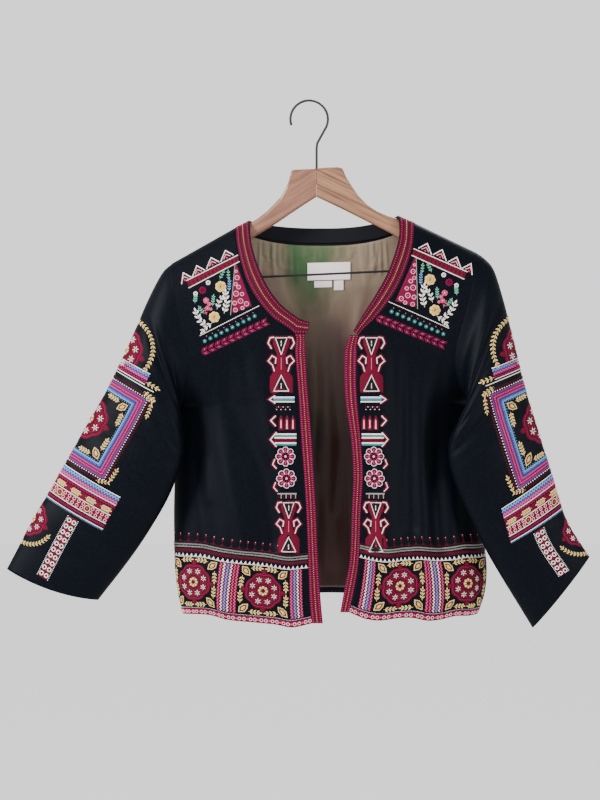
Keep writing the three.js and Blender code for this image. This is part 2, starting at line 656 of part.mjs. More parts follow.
function facingGrid() {
  return neckBack.spots.slice(1, -1).map((line, k) => [0.03, 0.5, 0.97].map((f) => {
    const at = Math.min(f * 2, 1.999);
    const j = Math.floor(at);
    const spot = line[j].clone().lerp(line[j + 1], at - j);
    spot.addScaledVector(neckBack.normals[k + 1][j], -LINING_STANDOFF);
    return [spot.x, spot.y, spot.z];
  }));
}
const facingSheet = makeSheet(facingGrid(), -1);

// Depth of the lining's face at a point seen from the front.
function liningDepth(x, z) {
  let best = [Infinity, 0];
  liningSheet.spots.forEach((line, i) => {
    if (i === LINING_ROWS) return;
    line.slice(0, -1).forEach((spot, j) => {
      for (let a = 0; a < 1; a += 0.125) {
        for (let b = 0; b < 1; b += 0.125) {
          const top = spot.clone().lerp(line[j + 1], b);
          const low = liningSheet.spots[i + 1][j].clone().lerp(liningSheet.spots[i + 1][j + 1], b);
          top.lerp(low, a);
          const away = Math.hypot(top.x - x, top.z - z);
          if (away < best[0]) best = [away, top.y];
        }
      }
    });
  });
  return best[1];
}

function labelGrid(left, right, top, bottom, tilt) {
  return [0, 0.5, 1].map((f) => [0, 0.25, 0.5, 0.75, 1].map((g) => {
    const x = mix(left, right, g);
    const z = mix(top, bottom, f) + tilt * g;
    return [x, liningDepth(x, z) - 1.5, z];
  }));
}

openSeams(backSheet, ['top', 'first', 'last']);
openSeams(frontRight, ['top', 'first', 'last']);
openSeams(frontLeft, ['top', 'first', 'last']);
openSeams(sleeveRight, ['top']);
openSeams(sleeveLeft, ['top']);
openSeams(neckRight, ['top', 'first']);
openSeams(neckLeft, ['top', 'bottom', 'first']);
openSeams(neckBack, ['top', 'bottom', 'first']);
openSeams(bandRight, ['top', 'first']);
openSeams(bandLeft, ['top', 'first']);

const LOOKS = {
  cloth: { color: 0x14151c, roughness: 0.85, metalness: 0 },
  band: { color: 0x8c1f3a, roughness: 0.75, metalness: 0 },
  facing: { color: 0x0c0c10, roughness: 0.9, metalness: 0 },
  lining: { color: 0x6f5b52, roughness: 0.45, metalness: 0 },
  label: { color: 0xe6cfd0, roughness: 0.6, metalness: 0 },
  woodRight: { color: 0xb98f76, roughness: 0.5, metalness: 0 },
  woodLeft: { color: 0xb08a5c, roughness: 0.5, metalness: 0 },
  wire: { color: 0x5b5650, roughness: 0.35, metalness: 0.9 },
  blackWire: { color: 0x17161a, roughness: 0.4, metalness: 0.2 },
};

const jacket = new THREE.Group();
function addPart(name, geometry, look) {
  const mesh = new THREE.Mesh(geometry, new THREE.MeshStandardMaterial(LOOKS[look]));
  mesh.name = name;
  jacket.add(mesh);
}
const addCloth = (name, sheet, wall, look) => addPart(name, wallGeometry(sheet, wall / 2, wall / 2), look);

addPart('hanger_arm_right', drilled(armSolid(ARM_RIGHT, -1), [stemHole, barHoleRight]), 'woodRight');
addPart('hanger_arm_left', drilled(armSolid(ARM_LEFT, 1), [stemHole, barHoleLeft]), 'woodLeft');
addPart('hanger_hook', wireSolid(hookLine(), HOOK_WIRE), 'wire');
addPart('hanger_bar', wireSolid(BAR_LINE, BAR_WIRE), 'blackWire');
addCloth('back_panel', backSheet, CLOTH_WALL, 'cloth');
addCloth('front_panel_right', frontRight, CLOTH_WALL, 'cloth');
addCloth('front_panel_left', frontLeft, CLOTH_WALL, 'cloth');
addCloth('sleeve_right', sleeveRight, CLOTH_WALL, 'cloth');
addCloth('sleeve_left', sleeveLeft, CLOTH_WALL, 'cloth');
addCloth('neck_band_right', neckRight, BAND_WALL, 'band');
addCloth('neck_band_left', neckLeft, BAND_WALL, 'band');
addCloth('neck_band_back', neckBack, BAND_WALL, 'band');
addCloth('front_band_right', bandRight, BAND_WALL, 'band');
addCloth('front_band_left', bandLeft, BAND_WALL, 'band');
addCloth('neck_facing_back', facingSheet, LINING_WALL, 'facing');
addCloth('lining_back', liningSheet, LINING_WALL, 'lining');
addCloth('label_main', makeSheet(labelGrid(-2, 61, -235, -260.5, 1.6), 1), LABEL_WALL, 'label');
addCloth('label_tab_care', makeSheet(labelGrid(8, 34, -261.6, -271, 0.6), 1), LABEL_WALL, 'label');
addCloth('label_tab_size', makeSheet(labelGrid(37, 51, -260.8, -275, 0.4), 1), LABEL_WALL, 'label');

export default jacket;
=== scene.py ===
"""Looks of the embroidered jacket on its hanger: cloth, lining, braid, stitched motifs, wood and wire."""
import math
from functools import partial

import bpy
import numpy as np
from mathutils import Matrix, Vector


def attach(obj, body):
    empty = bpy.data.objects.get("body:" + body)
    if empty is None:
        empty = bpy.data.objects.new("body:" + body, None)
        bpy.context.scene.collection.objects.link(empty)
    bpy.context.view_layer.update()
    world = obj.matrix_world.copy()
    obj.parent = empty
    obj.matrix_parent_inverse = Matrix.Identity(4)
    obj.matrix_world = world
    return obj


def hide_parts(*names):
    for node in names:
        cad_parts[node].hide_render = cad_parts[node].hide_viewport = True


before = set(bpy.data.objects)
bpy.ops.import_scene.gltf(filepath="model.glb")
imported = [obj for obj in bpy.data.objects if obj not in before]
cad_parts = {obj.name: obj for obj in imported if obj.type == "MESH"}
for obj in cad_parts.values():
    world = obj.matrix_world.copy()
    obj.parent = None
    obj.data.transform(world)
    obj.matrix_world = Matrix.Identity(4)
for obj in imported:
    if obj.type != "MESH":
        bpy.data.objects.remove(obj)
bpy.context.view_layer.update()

# Sizes in millimetres, +X right, front towards -Y, +Z up, origin under the hook's top.
MM = 0.001
CLOTH_HALF = 0.8
BAND_HALF = 1.0
# A body row is an armhole angle down to the underarm's row, then a step on the way to the hem's row.
UNDERARM_ROW = 12
HEM_ROW = 24
ROW_DEGREES = 15.0
# Millimetres a picture pixel, the origin's place in the picture, and the picture's size
PHOTO_SCALE = 1.45
PHOTO_ORIGIN = (309.0, 98.7)
PHOTO_SIZE = (600, 800)

# Armhole and sleeve rings: step, outer x z y, inner x z y, front depth, back depth, bow, cuff sag.
SLEEVE = {
    "right": np.array([
        [0, -199, -237, 0, -190, -444, 0, 39, 38, 14, 0],
        [1, -215, -253, -2, -197, -456, -8, 38, 36, 10, 0],
        [2, -237, -296, -7, -189, -474, -26, 35, 31, 3, 0],
        [3, -262, -356, -13, -183, -497, -38, 32, 28, 0, 0],
        [4, -297, -428, -19, -187, -530, -42, 30, 26, 0, 1],
        [5, -335, -495, -24, -204, -576, -42, 28, 24, 0, 2],
        [6, -370, -557, -27, -232, -625, -39, 26, 22, 0, 4],
        [7, -404, -617, -29, -262, -669, -37, 23, 20, 0, 6],
        [8, -439, -683, -30, -307, -727, -36, 20, 17, 0, 8],
    ], float),
    "left": np.array([
        [0, 245, -222, 0, 233, -440, 3, 39, 37, -24, 0],
        [1, 257, -231, -3, 246, -453, -7, 38, 32, -24, 0],
        [2, 270, -248, -8, 237, -464, -27, 36, 30, -17, 0],
        [3, 283, -290, -15, 223, -474, -46, 34, 28, -7, 0],
        [4, 294, -335, -21, 207, -487, -57, 32, 27, 0, 0],
        [5, 306, -387, -26, 202, -510, -61, 30, 26, 0, 1],
        [6, 323, -450, -30, 207, -543, -61, 28, 24, 0, 2],
        [7, 348, -530, -34, 229, -597, -56, 26, 22, 0, 3],
        [8, 374, -612, -37, 262, -663, -50, 23, 20, 0, 3],
        [9, 407, -665, -38, 325, -767, -44, 20, 17, 0, 2],
    ], float),
}
# Front edges by armhole angle: x y z, then the same below the armhole by share of the way to the hem.
EDGE = {
    "right": np.array([
        [0, -107, 0, -185], [15, -106.6, -9, -189], [30, -106, -17, -199], [45, -104, -25, -214],
        [60, -99, -33, -236], [75, -90, -39, -264], [90, -75, -44, -291], [105, -53, -47.5, -317],
        [120, -21, -50, -341], [135, -20, -51.5, -367], [150, -17.6, -52.5, -397],
        [165, -15.5, -53.3, -423], [180, -14, -54, -444],
    ], float),
    "left": np.array([
        [0, 154, 0, -178], [15, 153.6, -9, -182], [30, 153, -17, -192], [45, 151.5, -25, -208],
        [60, 147.5, -33, -226], [75, 141, -39, -245], [90, 131, -44, -268], [105, 116, -47.5, -293],
        [120, 96, -50, -318], [135, 72, -52, -343], [150, 69, -53, -378], [165, 68.5, -53.5, -411],
        [180, 70, -54, -442],
    ], float),
}
EDGE_LOW = {
    "right": np.array([
        [0, -14, -54, -444], [0.16, -11, -55, -495], [0.32, -7, -56.5, -546], [0.48, -4, -58, -597],
        [0.71, -1, -60, -669], [0.9, 1, -61, -728], [1, 4, -61, -760],
    ]),
    "left": np.array([
        [0, 70, -54, -442], [0.17, 75, -55, -495], [0.34, 78, -56.5, -546], [0.5, 75, -58, -596],
        [0.75, 72, -60, -669], [0.9, 65, -61, -714], [1, 58, -61, -744],
    ]),
}
SIDE = {
    "right": np.array([
        [0, -190, 0, -444], [0.17, -193, 0, -496], [0.33, -195.5, 0, -545], [0.5, -197, 1, -597],
        [0.67, -196.5, 2, -648], [0.8, -195, 2, -688], [0.92, -190, 2, -725], [1, -184, 2, -749],
    ]),
    "left": np.array([
        [0, 233, 3, -440], [0.17, 236, 4, -492], [0.33, 243, 5, -542], [0.5, 250, 5, -595],
        [0.67, 256, 5, -647], [0.78, 260, 5, -681], [0.9, 257, 4, -719], [1, 247, 4, -749],
    ]),
}
# Hem wave: share of the way from the front edge to the side, drop.
HEM = {
    "right": np.array([[0, 0], [0.15, -7.5], [0.28, -5], [0.46, -4], [0.64, -3], [0.8, 2], [1, 0]]),
    "left": np.array([
        [0, 0], [0.12, -8.5], [0.23, -11], [0.36, -7.5], [0.48, -6], [0.6, -10], [0.7, -8.5],
        [0.82, -3], [0.93, -2.5], [1, 0],
    ]),
}
# Back columns under the neck points and down the middle, by armhole angle, and their hem points.
NECK_COLUMN = {
    "right": np.array([
        [0, -107, 0, -185], [15, -107, 9, -190], [30, -107, 18, -202], [45, -107, 25, -219],
        [60, -107, 31, -241], [90, -107, 38, -293], [120, -107, 42, -347], [150, -107, 44, -400],
        [180, -107, 45.5, -444],
    ]),
    "left": np.array([
        [0, 154, 0, -178], [15, 154, 9, -183], [30, 154, 18, -195], [45, 154, 25, -212],
        [60, 154, 31, -234], [90, 153, 38, -287], [120, 152, 42, -342], [150, 151, 44, -397],
        [180, 150, 45.5, -442],
    ]),
}
MIDDLE_COLUMN = np.array([
    [0, 20, 34, -206], [15, 20, 35, -216], [30, 20, 36.5, -229], [45, 20, 38, -245],
    [60, 20, 40, -264], [90, 20, 43.5, -308], [120, 21, 46, -356], [150, 22, 47.5, -404],
    [180, 22, 48.5, -444],
])
HEM_BACK = {"right": (-100, 52, -737), "left": (160, 52, -735), "middle": (31, 56, -722)}
# Neckband free edges by armhole angle: x y z.
BAND = {
    "right": np.array([
        [0, -87, 0, -175], [15, -86.6, -8, -179], [30, -86, -15.5, -189], [45, -84.5, -24, -204],
        [60, -79.5, -32, -226], [75, -71, -39, -249], [90, -58.5, -45, -275], [105, -39, -48.5, -300],
        [120, -15, -51, -318.5],
    ]),
    "left": np.array([
        [0, 130, 0, -168], [15, 131, -8, -171.5], [30, 132, -15.5, -182], [45, 131.5, -24, -198],
        [60, 128, -32, -213], [75, 121.5, -39, -233], [90, 112, -45, -257], [105, 98, -48.5, -282],
        [120, 81, -51, -309], [135, 64, -53, -337],
    ]),
}
# Last row of each neckband's table, and how the wearer's right one goes on past it
BAND_LAST_ROW = {"right": 8, "left": 9}
BAND_RIGHT_TIPS = [((-14, -50.5, -340.7), (-7, -51.5, -321.8)), ((-2, -51, -340.7), (1, -52, -324))]
BAND_BACK_MIDDLE = (31.5, -184)
# Opening edges of the front bands: depth below the hook, x, y.
OPENING = {
    "right": np.array([
        [342, -6, -51], [367, -5, -52.5], [408, -3, -54], [444, 0, -55.5], [495, 4, -56.5],
        [546, 7, -58], [597, 10, -59], [669, 13, -61], [728, 17, -61], [760, 20, -61],
    ], float),
    "left": np.array([
        [344, 59, -53], [367, 52, -54], [401, 51, -55], [440, 53, -56], [495, 61, -56.5],
        [546, 64, -58], [596, 62, -59.5], [669, 59, -61], [712, 51, -61], [745, 45, -61],
    ], float),
}

# Folds: depth (towards the body when negative), half width, then the line x z x z.
# The first ones are the solids' own, the others are the softer and finer ones seen between them.
FOLDS = {
    "right": [
        (-7, 17, -120, -360, -115, -430, -66, -538, -50, -640),
        (5, 15, -140, -440, -119, -538, -97, -640),
        (-5, 14, -170, -470, -160, -560, -150, -650),
        (4, 16, -76, -430, -40, -560, -33, -650),
        (-2.4, 8, -98, -350, -88, -420, -70, -470),
        (1.8, 7, -128, -372, -130, -440, -112, -500),
        (-2.6, 8, -172, -400, -181, -440, -186, -500),
        (2.0, 8, -160, -398, -153, -440, -150, -520, -146, -580),
        (-1.8, 7, -60, -350, -52, -430, -36, -520, -26, -600),
        (-1.8, 9, -180, -560, -174, -640, -178, -735),
        (1.6, 8, -128, -600, -120, -680, -124, -750),
        (-1.7, 8, -86, -620, -78, -690, -82, -758),
        (1.5, 8, -30, -610, -22, -690, -24, -760),
        (-1.4, 6, -150, -300, -130, -330, -100, -350),
    ],
    "left": [
        (-7, 15, 145, -350, 144, -450, 147, -620),
        (5, 13, 165, -400, 163, -500, 168, -640),
        (-7, 14, 186, -470, 182, -560, 190, -660),
        (5, 14, 207, -540, 212, -660),
        (4, 16, 106, -420, 106, -560, 112, -660),
        (-2.2, 8, 122, -340, 124, -420, 122, -500),
        (1.8, 7, 132, -360, 133, -440, 135, -520),
        (-2.4, 8, 198, -360, 190, -420, 186, -470),
        (-2.2, 9, 92, -480, 90, -560, 96, -650),
        (2.4, 10, 150, -640, 152, -700, 150, -755),
        (-2.6, 10, 192, -640, 196, -700, 194, -755),
        (2.0, 9, 226, -640, 230, -700, 226, -750),
        (-2.0, 9, 128, -640, 130, -700, 127, -755),
        (1.6, 8, 88, -640, 84, -700, 80, -752),
        (-1.4, 6, 150, -330, 170, -352, 192, -360),
    ],
    "back": [
        (-6, 20, -120, -360, -128, -480, -120, -690),
        (5, 18, -80, -380, -78, -520, -84, -690),
        (-5, 20, -30, -420, -36, -560, -30, -690),
        (4, 20, 30, -330, 26, -480, 34, -690),
        (-6, 20, 90, -400, 96, -520, 92, -690),
        (5, 18, 140, -370, 142, -500, 146, -690),
        (-6, 18, 190, -400, 198, -520, 204, -700),
        (-2.2, 9, -150, -330, -140, -430, -146, -560),
        (1.8, 8, -100, -340, -104, -430, -102, -520),
        (-2.0, 9, -56, -300, -58, -420, -56, -560, -60, -700),
        (1.8, 8, -8, -360, -6, -500, -2, -640),
        (-2.2, 9, 60, -310, 62, -440, 60, -600, 66, -700),
        (2.0, 8, 116, -320, 118, -440, 120, -560),
        (-2.0, 8, 168, -330, 170, -420, 168, -520, 172, -640),
        (-1.8, 10, -160, -600, -156, -740),
        (1.8, 9, 0, -640, 6, -722),
        (1.6, 9, 228, -560, 232, -740),
        (-1.6, 8, -130, -290, -70, -330, -20, -345),
        (-1.6, 8, 180, -285, 120, -325, 60, -345),
    ],
}
# Sleeve folds: depth, half width along the sleeve in mm, step, middle angle, half spread, slant.
SLEEVE_FOLDS = {
    "right": [
        (-5, 13, 2.2, 60, 60, 0), (4, 14, 3.1, 80, 70, 0), (-5, 13, 4.1, 100, 60, 0), (4, 14, 4.9, 70, 60, 0),
        (-4.5, 13, 5.7, 110, 60, 0), (-4, 14, 3.4, 270, 60, 0), (4, 14, 4.6, 250, 70, 0),
        (-4, 14, 5.8, 280, 60, 0),
        (-2.6, 8, 1.5, 120, 40, 18), (2.0, 8, 1.9, 90, 50, 10), (-2.6, 8, 3.6, 130, 40, -16),
        (-2.2, 7, 4.5, 60, 45, 14), (2.0, 7, 5.3, 120, 45, -12), (-2.0, 7, 6.3, 70, 50, 10),
        (1.6, 8, 6.8, 110, 50, -8), (-1.8, 8, 7.3, 90, 40, 8), (-2.4, 8, 2.6, 250, 50, 14),
        (2.0, 8, 3.9, 290, 50, -12), (-2.2, 8, 5.1, 250, 50, 10), (-1.8, 8, 6.5, 270, 50, -8),
    ],
    "left": [
        (-5, 13, 2.9, 70, 60, 0), (4, 14, 4.2, 60, 70, 0), (-5, 13, 5.3, 100, 60, 0), (4, 14, 6.1, 70, 60, 0),
        (-5, 13, 6.9, 90, 60, 0), (-4, 14, 4.4, 270, 60, 0), (4, 14, 5.6, 250, 70, 0),
        (-4, 14, 6.8, 280, 60, 0),
        (-2.6, 8, 3.6, 120, 40, 16), (2.0, 8, 4.7, 130, 45, -12), (-2.4, 8, 5.7, 60, 45, 12),
        (2.0, 7, 6.5, 110, 45, -10), (-2.4, 7, 7.6, 40, 40, 12), (2.2, 7, 7.95, 40, 40, 8),
        (-2.4, 7, 8.2, 45, 40, -8), (-1.6, 8, 8.6, 110, 50, 8), (-2.2, 8, 3.8, 250, 50, 12),
        (2.0, 8, 5.0, 290, 50, -12), (-2.0, 8, 6.2, 250, 50, 10), (-1.8, 8, 7.8, 270, 50, -8),
    ],
}


def lookup(table, at):
    """Smooth curve through a table's rows, read at many places at once."""
    at = np.asarray(at, float)
    keys = table[:, 0]
    last = len(keys) - 1
    k = np.clip(np.searchsorted(keys, at, side="right") - 1, 0, last - 1)
    before, after = np.maximum(k - 1, 0), np.minimum(k + 2, last)
    span = keys[k + 1] - keys[k]
    f = np.clip((at - keys[k]) / span, 0, 1)[..., None]
    a, b = table[k, 1:], table[k + 1, 1:]
    gap_a = keys[k + 1] - keys[before]
    gap_b = keys[after] - keys[k]
    slope_a = (b - table[before, 1:]) / gap_a[..., None] * span[..., None]
    slope_b = (table[after, 1:] - a) / gap_b[..., None] * span[..., None]
    return (a * (2 * f**3 - 3 * f**2 + 1) + slope_a * (f**3 - 2 * f**2 + f)
            + b * (3 * f**2 - 2 * f**3) + slope_b * (f**3 - f**2))


def smooth(value):
    """Soft step from 0 to 1."""
    value = np.clip(value, 0, 1)
    return value * value * (3 - 2 * value)


def mix(a, b, f):
    return a + (b - a) * f


def fold_height(folds, x, z):
    """Sum of the soft troughs and ridges at points of a panel."""
    height = np.zeros(np.broadcast(x, z).shape)
    for depth, width, *line in folds:
        points = np.array(line, float).reshape(-1, 2)
        best = np.full(height.shape, 1e9)
        share = np.zeros(height.shape)
        count = len(points) - 1
        for k in range(count):
            (ax, az), (bx, bz) = points[k], points[k + 1]
            length2 = (bx - ax) ** 2 + (bz - az) ** 2
            f = np.clip(((x - ax) * (bx - ax) + (z - az) * (bz - az)) / length2, 0, 1)
            away = np.hypot(x - mix(ax, bx, f), z - mix(az, bz, f))
            near = away < best
            best = np.where(near, away, best)
            share = np.where(near, (k + f) / count, share)
        height += depth * np.exp(-((best / width) ** 2)) * smooth(share * 3 + 0.15)
    return height


def ring_point(side, step, degrees):
    """Point of a sleeve's ring, from its outer end at 0 degrees by the front at 90."""
    values = lookup(SLEEVE[side], step)
    ox, oz, oy, ix, iz, iy, front, back, bow, sag = np.moveaxis(values, -1, 0)
    angle = np.radians(degrees)
    across = (1 - np.cos(angle)) / 2
    is_front = np.sin(angle) > 0
    depth = np.where(is_front, front, back)
    lean = np.where(is_front, bow, bow * 0.4 * np.clip(1 - np.asarray(step, float), 0, 1))
    return np.stack([
        mix(ox, ix, across) + lean * np.sin(np.pi * across * across),
        mix(oy, iy, across) - depth * np.sin(angle),
        mix(oz, iz, across) - sag * np.sin(angle) ** 2,
    ], -1)


def split_row(row):
    """The armhole angle of a body row, and its share of the way from the underarm to the hem."""
    share = np.clip((row - UNDERARM_ROW) / (HEM_ROW - UNDERARM_ROW), 0, 1)
    return np.minimum(row, UNDERARM_ROW) * ROW_DEGREES, share


def upper_or_lower(table, low_table, row):
    """Reads one table down to the underarm and the other below it."""
    angle, share = split_row(row)
    return np.where((share > 0)[..., None], lookup(low_table, share), lookup(table, angle))


def bulge(row, v):
    """Share of the body's depth that is left on the way to the side."""
    _, share = split_row(row)
    power = 1 / (1 + smooth((share - 0.1) / 0.6))
    return np.maximum(1 - v * v, 0) ** power


def side_spot(side, share, ring_angle):
    """The body's side: round the armhole, then down the side seam."""
    armhole = ring_point(side, 0 * ring_angle, ring_angle)
    return np.where((share > 0)[..., None], lookup(SIDE[side], share), armhole)


def front_flat(side, row, v):
    """x and z of a front panel's point; v runs from the front edge to the side."""
    angle, share = split_row(row)
    inner = upper_or_lower(EDGE[side], EDGE_LOW[side], row)
    outer = side_spot(side, share, angle)
    x = mix(inner[..., 0], outer[..., 0], v)
    z = mix(inner[..., 2], outer[..., 2], v) + lookup(HEM[side], v)[..., 0] * share**3
    return x, z, inner, outer


def front_point(side, row, v):
    """Point of a front panel, with its folds."""
    x, z, inner, outer = front_flat(side, row, v)
    angle, share = split_row(row)
    fade = smooth(v / 0.15) * smooth((1 - v) / 0.2) * smooth(angle / 100)
    y = outer[..., 1] + (inner[..., 1] - outer[..., 1]) * bulge(row, v)
    y = y - fold_height(FOLDS[side], x, z) * fade
    return np.stack([x, y, z], -1)


def column_spot(table, hem, angle, share):
    """A back column's point: by its table down to the underarm, then straight to its hem point."""
    lower = mix(lookup(table, 180), np.array(hem), share[..., None])
    return np.where((share > 0)[..., None], lower, lookup(table, angle))


def back_point(row, c):
    """c runs from 0 at the wearer's right side to 1 and 2 at the neck columns and 3 at the left side."""
    angle, share = split_row(row)
    neck = {side: column_spot(NECK_COLUMN[side], HEM_BACK[side], angle, share) for side in NECK_COLUMN}
    middle = column_spot(MIDDLE_COLUMN, HEM_BACK["middle"], angle, share)

    def shoulder(side, v):
        inner, outer = neck[side], side_spot(side, share, 360 - angle)
        point = mix(inner, outer, v[..., None])
        point[..., 1] = outer[..., 1] + (inner[..., 1] - outer[..., 1]) * bulge(row, v)
        return point

    along = -np.cos(np.clip(c - 1, 0, 1) * np.pi)
    end = np.where((along < 0)[..., None], neck["right"], neck["left"])
    s = np.abs(along)
    turn = smooth(angle / 90)
    centre = np.stack([
        mix(middle[..., 0], end[..., 0], s),
        mix(end[..., 1], middle[..., 1], np.maximum(1 - s * s, 0) ** (1 / mix(1.7, 1.1, turn))),
        mix(middle[..., 2], end[..., 2], s ** mix(2.6, 2.0, turn)),
    ], -1)
    left_or_centre = np.where((c > 2)[..., None], shoulder("left", np.clip(c - 2, 0, 1)), centre)
    point = np.where((c < 1)[..., None], shoulder("right", np.clip(1 - c, 0, 1)), left_or_centre)
    fade = smooth(np.minimum(c, 3 - c) / 0.2) * smooth(angle / 100)
    point[..., 1] += fold_height(FOLDS["back"], point[..., 0], point[..., 2]) * fade
    return point


def sleeve_point(side, step, degrees):
    """Point of a sleeve, with its folds."""
    degrees = np.mod(degrees, 360)
    point = ring_point(side, step, degrees)
    height = 0
    for depth, width, at, angle, spread, slant in SLEEVE_FOLDS[side]:
        turn = np.mod(degrees - angle + 540, 360) - 180
        off = ((step - at) * 62 + slant * np.sin(np.radians(turn))) / width
        height = height + depth * np.exp(-off * off) * np.exp(-((turn / spread) ** 2))
    point[..., 1] -= height * np.sin(np.radians(degrees)) * smooth(step / 1.5)
    return point


def band_point(side, row, f):
    """Neckband; f runs from the panel's edge to the free edge."""
    angle = np.minimum(row, BAND_LAST_ROW[side]) * ROW_DEGREES
    outer, inner = lookup(EDGE[side], angle), lookup(BAND[side], angle)
    if side == "right":
        for k, (low, high) in enumerate(BAND_RIGHT_TIPS):
            past = np.clip(row - BAND_LAST_ROW[side] - k, 0, 1)[..., None]
            outer, inner = mix(outer, np.array(low), past), mix(inner, np.array(high), past)
    point = mix(outer, inner, f[..., None])
    point[..., 1] -= 0.6 * np.sin(np.pi * f) * np.clip(row / 2, 0, 1)
    return point


def band_back_point(c, f):
    """Neckband across the back, with c from the wearer's right to the left."""
    low = back_point(0 * c, 1 + c)
    along = -np.cos(c * np.pi)
    s = np.abs(along)
    end = np.where((along < 0)[..., None], BAND["right"][0], BAND["left"][0])
    high = np.stack([
        mix(20, end[..., 1], s),
        BAND_BACK_MIDDLE[0] * np.maximum(1 - s * s, 0) ** (1 / 1.7),
        mix(BAND_BACK_MIDDLE[1], end[..., 3], s**2.6),
    ], -1)
    return mix(low, high, f[..., None])


def front_band_point(side, row, f):
    """Band down the opening; f runs from the panel's edge to the free edge."""
    outer = upper_or_lower(EDGE[side], EDGE_LOW[side], row)
    opening = lookup(OPENING[side], np.maximum(-outer[..., 2], OPENING[side][0, 0]))
    inner = np.stack([opening[..., 0], opening[..., 1], outer[..., 2]], -1)
    point = mix(outer, inner, f[..., None])
    point[..., 1] -= 0.4 * np.sin(np.pi * f)
    return point


class Sheet:
    """A fine grid of points with outward normals, which cloth and stitches are laid on."""

    def __init__(self, function, rows, columns, outward, wrap=False):
        self.rows, self.columns, self.wrap, self.outward = rows, columns, wrap, outward
        grid_rows, grid_columns = np.meshgrid(rows, columns, indexing="ij")
        self.spots = function(grid_rows, grid_columns)
        self.find_normals()

    def find_normals(self):
        spots = self.spots
        if self.wrap:
            across = np.roll(spots, -1, 1) - np.roll(spots, 1, 1)
        else:
            across = np.gradient(spots, axis=1)
        down = np.gradient(spots, axis=0)
        normals = np.cross(down, across) * self.outward
        self.normals = normals / np.maximum(np.linalg.norm(normals, axis=-1, keepdims=True), 1e-9)

    def soften(self, row, reach, turns, edge):
        """Rounds the sheet's depth near a row, with its first and last columns left alone."""
        share = (self.columns - self.columns[0]) / (self.columns[-1] - self.columns[0])
        keep = smooth(np.minimum(share, 1 - share) / edge)
        weight = 0.5 * np.exp(-(((self.rows - row) / reach) ** 2))[1:-1, None] * keep
        depth = self.spots[..., 1]
        for _ in range(turns):
            depth[1:-1] += weight * ((depth[:-2] + depth[2:]) / 2 - depth[1:-1])
        self.find_normals()

    def push(self, spot, reach, move):
        """Moves the points near a spot, seen from the front, by up to the given step."""
        away = np.hypot(self.spots[..., 0] - spot[0], (self.spots[..., 2] - spot[1]) * 0.7)
        self.spots += np.exp(-((away / reach) ** 2))[..., None] * np.array(move)
        self.find_normals()

    def sample(self, row, column):
        """Points and normals at fractional row and column parameters."""
        i = np.interp(row, self.rows, np.arange(len(self.rows)))
        if self.wrap:
            per_turn = self.columns[1] - self.columns[0]
            j = np.mod(column - self.columns[0], 360) / per_turn
        else:
            j = np.interp(column, self.columns, np.arange(len(self.columns)))
        n_rows, n_columns = self.spots.shape[:2]
        i0 = np.clip(np.floor(i).astype(int), 0, n_rows - 2)
        j0 = np.floor(j).astype(int)
        j0 = np.mod(j0, n_columns) if self.wrap else np.clip(j0, 0, n_columns - 2)
        j1 = np.mod(j0 + 1, n_columns) if self.wrap else j0 + 1
        fi = (i - i0)[..., None]
        fj = (j - np.floor(j) if self.wrap else j - j0)[..., None]
        result = []
        for grid in (self.spots, self.normals):
            top = mix(grid[i0, j0], grid[i0, j1], fj)
            low = mix(grid[i0 + 1, j0], grid[i0 + 1, j1], fj)
            result.append(mix(top, low, fi))
        return result


def steps(first, last, count):
    return np.linspace(first, last, count + 1)


# Columns lie closer together towards the sides, by this power of their share.
SIDE_POWER = 1.35
panel_rows = steps(0, HEM_ROW, 144)
side_shares = 1 - (1 - steps(0, 1, 64)) ** SIDE_POWER
back_columns = np.concatenate([1 - side_shares[::-1], 1 + steps(0, 1, 60)[1:-1], 2 + side_shares])
around = steps(0, 360, 120)[:-1]
band_shares = steps(0, 1, 8)
sheets = {
    "front_panel_right": Sheet(partial(front_point, "right"), panel_rows, side_shares, -1),
    "front_panel_left": Sheet(partial(front_point, "left"), panel_rows, side_shares, 1),
    "back_panel": Sheet(back_point, panel_rows, back_columns, -1),
    "sleeve_right": Sheet(partial(sleeve_point, "right"), steps(0, 8, 168), around, 1, wrap=True),
    "sleeve_left": Sheet(partial(sleeve_point, "left"), steps(0, 9, 168), around, -1, wrap=True),
    "neck_band_right": Sheet(partial(band_point, "right"), steps(0, 10, 90), band_shares, 1),
    "neck_band_left": Sheet(partial(band_point, "left"), steps(0, 9, 90), band_shares, -1),
    "neck_band_back": Sheet(band_back_point, steps(0, 1, 80), band_shares, -1),
    "front_band_right": Sheet(partial(front_band_point, "right"), steps(8, HEM_ROW, 130), steps(0, 1, 6), 1),
    "front_band_left": Sheet(partial(front_band_point, "left"), steps(9, HEM_ROW, 130), steps(0, 1, 6), -1),
}
for name in ("front_panel_right", "front_panel_left", "back_panel"):
    sheets[name].soften(UNDERARM_ROW, 1.6, 120, 0.08)
# The underarm of the wearer's right sleeve lies against the side seam.
sheets["sleeve_right"].push((-190, -452), 22, (5.0, 0, 0))

